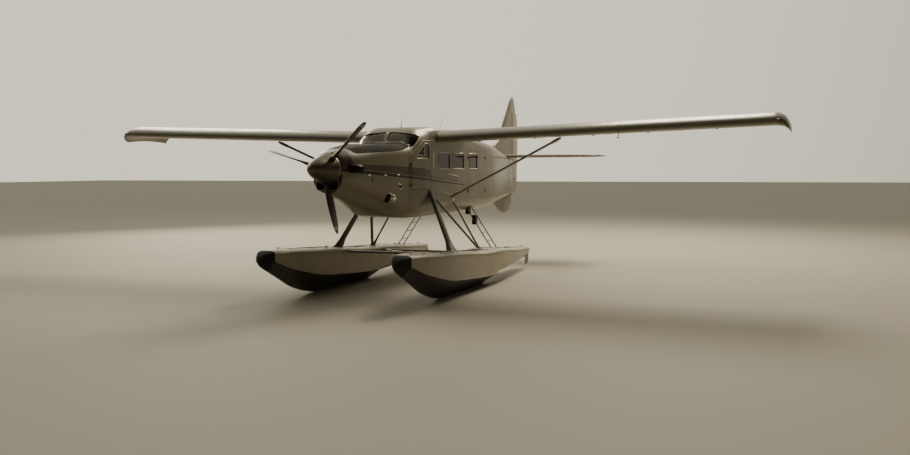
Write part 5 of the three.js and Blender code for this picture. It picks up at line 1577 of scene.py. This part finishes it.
horn = skin([[to_frame(x, y, z) for x, y in rounded(RUDDER_HORN, 10, 3)]
             for z in (RUDDER_FLOOR_Z + 60, RUDDER_FLOOR_Z + 66)])
dress("rudder_horn", horn, "bare_metal", DULL_METAL, body="rudder")
lamp = lathe(((8800, 20), (8835, 22), (8858, 19), (8870, 12), (8874, 3)), 1250, 20)
dress("tail_lamp", lamp, "glass", lens_material("tail_lens", (0.8, 0.76, 0.66, 1), 0.5, 0.05))

# Floats
# Two riveted aluminium floats with a step, sharp chines, a keel strip and rubber bumpers on their bows.
# Each carries two legs and a brace, a boarding ladder, cleats, hatches and a water rudder at its stern.
FLOAT_X, BOW_JOINT_Y = 1600, -3700
# Columns: y, half width, deck, chine, keel
FLOAT_SECTIONS = [
    (BOW_JOINT_Y, 216, -2456, -2690, -2900),
    (-3300, 325, -2460, -2865, -3090), (-2700, 405, -2497, -3020, -3370),
    (-2000, 430, -2537, -3150, -3560), (-1600, 430, -2560, -3195, -3600),
    (1000, 430, -2725, -3330, -3600), (1004, 430, -2725, -3290, -3510),
    (3000, 330, -2855, -3190, -3390), (4700, 160, -2965, -3110, -3250),
]
BUMPER_SECTIONS = [
    (-4000, 18, -2648, -2675, -2692), (-3996, 38, -2628, -2675, -2706), (-3986, 58, -2602, -2676, -2724),
    (-3966, 84, -2574, -2677, -2750), (-3925, 112, -2540, -2679, -2782), (-3870, 142, -2508, -2681, -2816),
    (-3790, 178, -2474, -2685, -2856), (BOW_JOINT_Y - 0.3, 216, -2456, -2690, -2900),
]
KEEL_HALF_WIDTH = 30
SPREADER_BARS = {"front": (-735, -2720), "rear": (1175, -2842)}
SPREADER_CHORD, SPREADER_THICK = 130, 60
# Front, slanting and rear leg. Columns: from, to, chord, thickness, growth to its foot, deck under its foot
FLOAT_STRUTS = [
    ((815, -340, -1290), (1515, -730, -2650), 246, 78, 0.3, -2617),
    ((800, -300, -1310), (1520, 1175, -2785), 124, 52, 0.1, None),
    ((800, 1200, -1570), (1520, 1175, -2785), 92, 46, 0.1, -2737),
]
STRUT_FOOT = {"half": 55, "reach": 45, "below": 60, "above": 32}
# Columns: height over the deck, growth over the leg's own section
LEG_SHOE = [(-60, 0.30), (26, 0.30), (60, 0.22), (170, 0.04)]
WATER_RUDDER = {"pin": 4742, "lugs": ((-3212, -3192), (-3022, -3002)), "lug_half": 16, "post": 13, "half": 8}
WATER_RUDDER_BLADE = [(4778, -3006), (4778, -3430), (4850, -3510),
                      (5070, -3470), (5140, -3240), (5050, -3006)]
LADDER_RAILS, LADDER_TOP, LADDER_FOOT = (2450, 2850), (657, -1750), (1405, -2878)
LADDER_RADIUS, LADDER_RUNGS = 16, (0.2, 0.4, 0.6, 0.8)
DECK_CORNER, DECK_CROWN, DECK_FLAT, DECK_FALL = 70, 22, 0.45, 0.39
FLOAT_CREAM, FLOAT_WORN = (0.50, 0.45, 0.335, 1), (0.26, 0.225, 0.16, 1)
DARK_SHADE_AND_WEAR, LEG_GREY = (0.040, 0.035, 0.028, 1), (0.085, 0.076, 0.060, 1)
# The dark colour is painted shade on the floats' downward faces, and the worn colour of the legs
FLOAT_PAINT = paint_material("float_paint", FLOAT_CREAM, FLOAT_WORN, seams=(0.78, 0.9), gloss=0.42,
                             bottom=DARK_SHADE_AND_WEAR)
LEG_PAINT = paint_material("leg_paint", LEG_GREY, DARK_SHADE_AND_WEAR, gloss=0.36, seams=(30, 30))


def deck_fall(share):
    """How far the crowned deck falls at a share of its half width."""
    return DECK_CROWN * max(0, (share - DECK_FLAT) / DECK_FALL) ** 2


def float_outline(half, deck, chine, keel, hollow=10):
    """Half the section, keel to deck: a hollowed bottom, an upright side and a crowned deck."""
    bottom = [(KEEL_HALF_WIDTH + (half - KEEL_HALF_WIDTH) * t,
               keel + (chine - keel) * t + hollow * math.sin(math.pi * t)) for t in np.linspace(0, 1, 7)]
    flank = [(half, chine + (deck - DECK_CORNER - chine) * t) for t in (0.02, 0.25, 0.5, 0.75, 1)]
    crown = [(half * (0.84 + 0.16 * math.cos(a)),
              deck - DECK_CORNER + (DECK_CORNER - DECK_CROWN) * math.sin(a))
             for a in np.linspace(0, math.pi / 2, 6)[1:]]
    top = [(half * t, deck - deck_fall(t)) for t in (0.72, 0.6, 0.45, 0.2)]
    side = bottom + flank + crown + top
    return side + [(-x, z) for x, z in side[::-1]]


def float_body(side, table=FLOAT_SECTIONS, step=130):
    fixed = [row[0] for row in table]
    rings = []
    for y in stations(fixed[0], fixed[-1], step, *fixed[1:-1]):
        _, *row = between(table, y)
        rings.append([to_frame(side * FLOAT_X + x, y, z) for x, z in float_outline(*row)])
    return skin(rings)


def float_row(y):
    return between(FLOAT_SECTIONS, y)


half, pin_y = WATER_RUDDER["lug_half"], WATER_RUDDER["pin"]
(_, lug_top), (upper_lug, _) = WATER_RUDDER["lugs"]
for label, side in SIDES:
    middle = side * FLOAT_X
    lugs = [box_body(middle - half, middle + half, pin_y - 82, pin_y + 12, low, high)
            for low, high in WATER_RUDDER["lugs"]]
    hull = joined(float_body(side), *lugs)
    dress(f"float_hull_{label}", hull, "float_paint", FLOAT_PAINT, [f"float_{label}"], crease=24)
    bumper = float_body(side, BUMPER_SECTIONS, 24)
    dress(f"bow_bumper_{label}", bumper, "rubber", BLACK_RUBBER, [f"float_bumper_{label}"], crease=60)

    port_face, starboard_face = middle + WATER_RUDDER["half"], middle - WATER_RUDDER["half"]
    post = rod((middle, pin_y, lug_top + KNUCKLE_GAP), (middle, pin_y, upper_lug - KNUCKLE_GAP),
               WATER_RUDDER["post"], 20)
    web = box_body(starboard_face, port_face, pin_y, pin_y + 58, lug_top + 10, upper_lug - 10)
    paddle = plate_between(rounded(WATER_RUDDER_BLADE, 70, 4), starboard_face, port_face, 4)
    piece = joined(post, web, paddle)
    node = f"water_rudder_{label}"
    dress(f"water_rudder_blade_{label}", piece, "bare_metal", DULL_METAL, [node], body=node)

    legs, cuffs = [], []
    for start, end, chord, thick, swell, deck in FLOAT_STRUTS:
        start, end = mirrored((start, end), side)
        legs.append(fairing(start - (end - start) * 0.05, end, chord, thick, PORT, 20, swell))
        if deck:
            shoe = []
            for height, growth in LEG_SHOE:
                spot = end + (start - end) * ((deck + height - end.z) / (start.z - end.z))
                more = growth * chord * (1 + swell)
                shoe.append(fairing_ring(spot, PORT, chord * (1 + swell) + more, thick * (1 + swell) + more))
            cuffs.append(skin(shoe))
            across, along = STRUT_FOOT["half"], chord / 2 + STRUT_FOOT["reach"]
            top, low = deck + STRUT_FOOT["above"], deck - STRUT_FOOT["below"]
            outline = oblong(end.x - across, end.x + across, end.y - along, end.y + along, 30, 4)
            cuffs.append(skin([[to_frame(x, y, z) for x, y in shrunk(outline, inset)]
                               for z, inset in ((low, 0), (top - 14, 0), (top, 10))]))
    legs = carve(legs[0], "UNION", *legs[1:], *cuffs)
    carve(legs, "DIFFERENCE", hull_body(-SEAT_GAP, -1400, 2600), float_body(side))
    dress(f"float_leg_set_{label}", legs, "float_paint", LEG_PAINT, [f"float_struts_{label}"])

    (x0, z0), (x1, z1) = LADDER_TOP, LADDER_FOOT
    rails = [rod((side * x0, y, z0), (side * x1, y, z1), LADDER_RADIUS) for y in LADDER_RAILS]
    rungs = []
    for share in LADDER_RUNGS:
        x, z = side * (x0 + (x1 - x0) * share), z0 + (z1 - z0) * share
        rungs.append(rod(*((x, y, z) for y in LADDER_RAILS), LADDER_RADIUS * 0.75))
    ladder = carve(rails[0], "UNION", rails[1], *rungs)
    carve(ladder, "DIFFERENCE", hull_body(-SEAT_GAP, 1800, 3400), float_body(side))
    dress(f"ladder_frame_{label}", ladder, "bare_metal", DULL_METAL, [f"ladder_{label}"])

# Rails, lids, grip strips, caps, cleats and rivets of the floats
GRIP = soft_material("grip_strip", (0.045, 0.040, 0.034, 1), (0.020, 0.018, 0.015, 1), 420, 0.9, 0.0, 0.8)
# The sheer rails are real rails in a near-white colour: a painted highlight along each float's gunwale
RAIL_PAINTED_HIGHLIGHT = soft_material("rail_painted_highlight", (0.72, 0.66, 0.52, 1), (0.52, 0.47, 0.36, 1), 30, 0.38)
LIDS = [(-2960, -2480), (-1330, -1010), (1560, 1900), (3300, 3700)]
STRIPS = [(-2380, -1420), (-430, 880), (1990, 3220)]
PUMP_CAPS = (-3050, -2200, -1200, -60, 760, 1700, 2600, 3500, 4200)
CLEATS = (-3250, -1600, 2250, 4330)
# Step boxes on the port ladder: share of the way down, height
STEP_BOXES, STEP_LENGTH, STEP_WALL = [(0.05, 270), (0.30, 260)], 150, 8


def deck_height(x, y):
    _, half, deck, _, _ = float_row(y)
    return deck - deck_fall(abs(x) / half)


def deck_plate(middle, half, span, corner, proud):
    """A lid or strip lying on a float's deck and following its fall."""
    line = refined(oblong(-half, half, *span, corner, 3), 90)
    inner = shrunk(line, 2)
    return skin([[to_frame(middle + x, y, deck_height(x, y) + up) for x, y in ring]
                 for up, ring in ((-3, line), (proud - 1.5, line), (proud, inner))], seam=1e-6)


def flank_spots(middle, y, heights):
    """Rivet places on both sides of a float, at heights measured from its deck and its chine."""
    _, half, deck, chine, _ = float_row(y)
    return [(to_frame(middle + way * half, y, z), Vector((way, 0, 0)))
            for way in (1, -1) for z in heights(deck, chine)]


for label, side in SIDES:
    middle = side * FLOAT_X
    sheer = [[(middle + way * (float_row(y)[1] + 1), y, float_row(y)[2] - 62)
              for y in stations(BOW_JOINT_Y + 8, 4690, 110)] for way in (1, -1)]
    dress(f"sheer_rail_{label}", piping(sheer, 13, 10, closed=False), "float_paint", RAIL_PAINTED_HIGHLIGHT)
    chines = [[(middle + way * (float_row(y)[1] - 1), y, float_row(y)[3] + 2)
               for y in stations(first, last, 110)]
              for way in (1, -1) for first, last in ((-3600, 996), (1008, 4660))]
    dress(f"chine_rail_{label}", piping(chines, 9, 8, closed=False), "float_paint", FLOAT_PAINT)
    lids = joined(*(deck_plate(middle, 150, span, 45, 9) for span in LIDS))
    dress(f"deck_lids_{label}", lids, "float_paint", FLOAT_PAINT)
    grips = [deck_plate(middle, 175 * share, span, 30, 2.5) for span, share in zip(STRIPS, (0.95, 1, 0.7))]
    dress(f"grip_strips_{label}", joined(*grips), "dark_trim", GRIP)
    caps = []
    for y in PUMP_CAPS:
        x = 0.56 * float_row(y)[1]
        caps.append(button(middle + x, y, deck_height(x, y), ((-4, 26), (7, 26), (9, 23)), 20))
    dress(f"pump_caps_{label}", joined(*caps), "rubber", BLACK_RUBBER)
    cleats = []
    for y in CLEATS:
        x = 0 if y < -3000 or y > 4000 else 0.62 * float_row(y)[1]
        z = deck_height(x, y)
        x += middle
        cleats.append(tube([(x, y - 92, z + 44), (x, y - 50, z + 36), (x, y + 50, z + 36),
                            (x, y + 92, z + 44)], [6, 9, 9, 6], 12))
        cleats += [rod((x, y + d, z - 4), (x, y + d, z + 36), 9, 12) for d in (-26, 26)]
        cleats.append(box_body(x - 20, x + 20, y - 48, y + 48, z - 8, z + 5))
    dress(f"cleats_{label}", joined(*cleats), "bare_metal", RIM_METAL)
    spots = []
    for y in np.arange(BOW_JOINT_Y + 40, 4670, 62):
        spots += flank_spots(middle, y, lambda deck, chine: (deck - 96, chine + 34))
    for y in range(-3480, 4600, 300):
        spots += flank_spots(middle, y, lambda deck, chine: np.arange(chine + 60, deck - 110, 55))
        half = float_row(y)[1]
        spots += [(to_frame(middle + x, y, deck_height(x, y)), UP)
                  for x in np.arange(-0.8 * half, 0.81 * half, 55)]
    rivets(f"float_rivets_{label}", spots, FLOAT_PAINT, slot="float_paint")

boxes = []
y = LADDER_RAILS[0]
for share, height in STEP_BOXES:
    x, z = (top + (foot - top) * share for top, foot in zip(LADDER_TOP, LADDER_FOOT))
    outside, inside = (oblong(x - half, x + half, z - height / 2 + wall, z + height / 2 - wall, corner, 4)
                       for half, wall, corner in ((46, 0, 22), (46 - STEP_WALL, STEP_WALL, 16)))
    boxes.append(carve(prism(outside, y - 20, y + STEP_LENGTH, "y"), "DIFFERENCE",
                       prism(inside, y - 30, y + STEP_LENGTH - STEP_WALL, "y")))
dress("ladder_step_boxes", joined(*boxes), "rubber", GRIP)

# Two wires cross between the bars, one over the other, with a turnbuckle at each end
WIRE_X, WIRE_RISE, WIRE_RADIUS = 1150, 7, 5
TURNBUCKLE_FROM, TURNBUCKLE_TO, TURNBUCKLE_RADIUS = 0.03, 0.11, 9
wires = []
for way in (1, -1):
    (front_y, front_z), (rear_y, rear_z) = SPREADER_BARS["front"], SPREADER_BARS["rear"]
    front = Vector((way * -WIRE_X, front_y, front_z + way * WIRE_RISE))
    rear = Vector((way * WIRE_X, rear_y, rear_z + way * WIRE_RISE))
    wires.append(rod(front, rear, WIRE_RADIUS, 10))
    wires += [rod(near + (far - near) * TURNBUCKLE_FROM, near + (far - near) * TURNBUCKLE_TO,
                  TURNBUCKLE_RADIUS, 12) for near, far in ((rear, front), (front, rear))]
dress("spreader_wires", joined(*wires), "bare_metal", RIM_METAL)

for name, (y, z) in SPREADER_BARS.items():
    rings = [fairing_ring(Vector((x, y, z)), UP, SPREADER_CHORD, SPREADER_THICK)
             for x in np.linspace(-FLOAT_X, FLOAT_X, 25)]
    bar = skin(rings)
    carve(bar, "DIFFERENCE", *(float_body(side) for _, side in SIDES))
    dress(f"spreader_bar_skin_{name}", bar, "float_paint", LEG_PAINT, [f"spreader_bar_{name}"])

# Cockpit
# A sheet-metal panel with round dials under a padded glare shield, and one throw-over column of bent
# tube that carries the wheel in front of the port seat. The dials are pressed rings over glass.
PANEL = {"front": -1130, "rear": -1030, "low": -760, "high": -300}
DIAL_RADIUS, FACE_RADIUS = 42, 26.565
DIAL_PLACES = (-500, -395, -290, -185, 185, 290, 395, 500)
DIAL_ROWS = [(-395, DIAL_PLACES), (-510, DIAL_PLACES), (-625, (-395, -290, 290, 395))]
SWITCH_Z, SWITCH_PLACES = -700, np.arange(-140, 141, 28)
# Columns: y, half width, height, thickness; it falls away to its sides
SHELF_ROWS = [(-1236, 560, -268, 14), (-1190, 590, -266, 24), (-1100, 610, -268, 30), (-1010, 610, -276, 36),
              (-992, 604, -286, 30), (-984, 592, -292, 14)]
SHELF_FALL = 0.00016
# The wheel's middle, its reach across and up, and its tube's radius
WHEEL, WHEEL_ACROSS, WHEEL_HIGH, WHEEL_TUBE = (360, -850, -840), 150, 130, 13
BOOT_ROWS = ((1, 68), (10, 66), (18, 54), (26, 58), (34, 46), (42, 49), (52, 38), (60, 32))
PANEL_BLACK = soft_material("panel_black", (0.035, 0.033, 0.030, 1), (0.020, 0.019, 0.017, 1), 260, 0.6)
DIAL_FACE = soft_material("dial_face", (0.012, 0.012, 0.012, 1), (0.006, 0.006, 0.006, 1), 40, 0.2)
TICK_CREAM = soft_material("tick_cream", (0.75, 0.72, 0.62, 1), (0.60, 0.57, 0.48, 1), 300, 0.6)

face_y = PANEL["rear"] - 22
panel_block = box_body(-1500, 1500, PANEL["front"], face_y, PANEL["low"], PANEL["high"])
panel = carve(cabin_space(14), "INTERSECT", panel_block)
dress("panel_board", panel, "dark_trim", PANEL_BLACK, ["instrument_panel"])


def on_panel(name, places, proud, material, slot, **sizes):
    """Small round parts on the panel's face, at places of x, z."""
    spots = [(to_frame(x, face_y + proud, z), AFT) for x, z in places]
    rivets(name, spots, material, slot=slot, **sizes)


dials = [(x, z) for z, row in DIAL_ROWS for x in row]
on_panel("dial_bezels", dials, 0, IRON, "dark_trim", radius=DIAL_RADIUS, height=9, sides=32)
on_panel("dial_faces", dials, 7, DIAL_FACE, "glass", radius=FACE_RADIUS, height=3, sides=32)
ticks = [(x + 18 * math.cos(a), z + 18 * math.sin(a))
         for x, z in dials for a in np.radians(np.arange(-60, 241, 30))]
on_panel("dial_ticks", ticks, 10, TICK_CREAM, "cream_paint", radius=1.6, height=1)
angles = np.radians([(137 * k) % 300 - 60 for k in range(len(dials))])
needles = [rod((x, face_y + 11, z), (x + 17 * math.cos(a), face_y + 11, z + 17 * math.sin(a)), 1.1, 6)
           for (x, z), a in zip(dials, angles)]
dress("dial_needles", joined(*needles), "cream_paint", TICK_CREAM)
switches = [(x, SWITCH_Z) for x in SWITCH_PLACES]
on_panel("panel_switches", switches, 0, RIM_METAL, "bare_metal", radius=6, height=20, sides=12)

shelf = []
for y, width, z, thick in SHELF_ROWS:
    over = [(width * t, z + thick / 2) for t in np.linspace(-1, 1, 17)]
    under = [(x, z - thick / 2) for x, _ in over[::-1]]
    shelf.append([to_frame(x, y, height - SHELF_FALL * x * x) for x, height in over + under])
dress("glare_shield", skin(shelf), "dark_trim", PANEL_BLACK)

x, y, z = WHEEL
rim = [(x + WHEEL_ACROSS * math.cos(a), y, z + WHEEL_HIGH * math.sin(a))
       for a in np.radians(np.arange(150, 391, 12))]
column = [(0, y + 70, FLOOR_TOP + 20), (0, y + 40, FLOOR_TOP + 340), (0, y - 6, z - 90), (40, y - 10, z - 62),
          (200, y - 8, z - 56), (x - 30, y, z - 44)]
parts = [tube(column, [30, 28, 26, 24, 21, 20], 20),
         rod((x, y - 26, z - 42), (x, y + 14, z - 42), 34, 24),
         rod((x, y, z - 40), (x, y, z - 124), 15), tube(rim, WHEEL_TUBE, 14),
         button(0, y + 70, FLOOR_TOP, BOOT_ROWS, 32)]
dress("control_column_and_wheel", joined(*parts), "dark_trim", PANEL_BLACK, ["control_column"])
pedals = []
for x in (side * WHEEL[0] + step for side in (1, -1) for step in (-85, 85)):
    pedals += [box_body(x - 45, x + 45, -1285, -1275, -1500, -1380),
               rod((x, -1284, -1440), (x, -1340, FLOOR_TOP + 30), 10, 12),
               rod((x - 30, -1345, FLOOR_TOP + 26), (x + 30, -1345, FLOOR_TOP + 26), 14, 12),
               box_body(x - 28, x + 28, -1372, -1318, FLOOR_TOP + 0.5, FLOOR_TOP + 18)]
dress("rudder_pedals", joined(*pedals), "bare_metal", IRON)

# Seats
# Pilot seats and two bench seats: foam cushions under woven cloth with sewn edges, on steel legs.
SEAT_HALF = 230
PILOT_SEAT = {"x": 360, "y": -720, "cushion": -1180, "back": -560}
BENCH_HALF, BENCH_CUSHION, BENCH_BACK = 690, -1200, -640
BENCH_ROWS = (("front", 230), ("rear", 1290))
CLOTH, tree = new_material("seat_cloth")
spot = object_place(tree)
weave = [add(tree, "ShaderNodeTexWave", {"Vector": spot, "Scale": 180.0, "Distortion": 0.6},
             bands_direction=way)[1] for way in "XYZ"]
threads = times(tree, plus(tree, weave[0], weave[1]), weave[2])
fade = noise(tree, spot, 6.0, 4.0)
bump = add(tree, "ShaderNodeBump", {"Height": threads, "Strength": 0.4, "Distance": 0.001})[0]
surface(tree, {"Base Color": mixed(tree, fade, (0.13, 0.10, 0.075, 1), (0.07, 0.055, 0.042, 1)),
               "Roughness": 0.92, "Sheen Weight": 0.3, "Normal": bump})


def cushion(x0, x1, y0, y1, z0, z1, crown, lean, columns):
    """A padded block: crowned faces that pull in at the corners and along the sewn channels."""
    build = bmesh.new()
    nx, ny, nz = 10 * columns, 10, 4
    made = {}
    for i, j, k in itertools.product(range(nx + 1), range(ny + 1), range(nz + 1)):
        if i in (0, nx) or j in (0, ny) or k in (0, nz):
            u, v, w = 2 * i / nx - 1, 2 * j / ny - 1, 2 * k / nz - 1
            cell = abs(math.sin(math.pi * columns * i / nx)) ** 0.35
            swell = crown * (1 - u ** 4) * (1 - v ** 4) * (0.35 + 0.65 * cell)
            pinch = 1 - 0.018 * (1 - w * w < 0.1) - 0.05 * max(0, abs(w) - 0.4)
            pull = 1 - 0.012 * (abs(u) ** 3) * (1 - w * w)
            x = (x0 + x1) / 2 + (x1 - x0) / 2 * u * pinch
            y = (y0 + y1) / 2 + (y1 - y0) / 2 * v * pinch * pull
            z = (z0 + z1) / 2 + ((z1 - z0) / 2 - crown * 0.5) * w + swell * 0.5 * w
            made[i, j, k] = build.verts.new(to_frame(x, y + lean * (z - z0), z))

    def face(*keys):
        build.faces.new([made[key] for key in keys])

    for i in range(nx):
        for j in range(ny):
            for k in (0, nz):
                face((i, j, k), (i + 1, j, k), (i + 1, j + 1, k), (i, j + 1, k))
    for i in range(nx):
        for k in range(nz):
            for j in (0, ny):
                face((i, j, k), (i + 1, j, k), (i + 1, j, k + 1), (i, j, k + 1))
    for j in range(ny):
        for k in range(nz):
            for i in (0, nx):
                face((i, j, k), (i, j + 1, k), (i, j + 1, k + 1), (i, j, k + 1))
    bmesh.ops.recalc_face_normals(build, faces=build.faces)
    piece = built(build)
    smooth = piece.modifiers.new("smooth", "SUBSURF")
    smooth.levels = smooth.render_levels = 1
    return settle(piece)


def seat(name, nodes, x0, x1, y, cushion_z, back_z, columns):
    base = cushion(x0 + 4, x1 - 4, y + 4, y + 476, cushion_z - 106, cushion_z + 4, 26, 0, columns)
    back = cushion(x0 + 4, x1 - 4, y + 436, y + 522, cushion_z - 50, back_z + 14, 30, 0.15, columns)
    pad = joined(base, back)
    dress(f"{name}_cushions", pad, "seat_cloth", CLOTH, nodes, crease=50)
    legs = []
    for x in (x0 + 60, x1 - 60):
        for leg_y in (y + 60, y + 400):
            legs.append(rod((x, leg_y, FLOOR_TOP + 0.5), (x, leg_y, cushion_z - 96), 15, 14))
            legs.append(rod((x, leg_y, FLOOR_TOP + 0.5), (x, leg_y, FLOOR_TOP + 8), 30, 18))
        legs.append(rod((x, y + 40, cushion_z - 112), (x, y + 440, cushion_z - 112), 11, 12))
    dress(f"{name}_legs", joined(*legs), "bare_metal", IRON)


for label, side in SIDES:
    x = side * PILOT_SEAT["x"]
    seat(f"pilot_seat_{label}", [f"pilot_seat_{label}"], x - SEAT_HALF, x + SEAT_HALF, PILOT_SEAT["y"],
         PILOT_SEAT["cushion"], PILOT_SEAT["back"], 1)
for row, y in BENCH_ROWS:
    seat(f"bench_{row}", [f"cabin_seats_{row}"], -BENCH_HALF, BENCH_HALF, y, BENCH_CUSHION, BENCH_BACK, 3)

# The CAD's box and the box of the dressed aircraft, side by side
low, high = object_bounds()
{"cad": [list(cad_low), list(cad_high)], "dressed": [list(low), list(high)]}
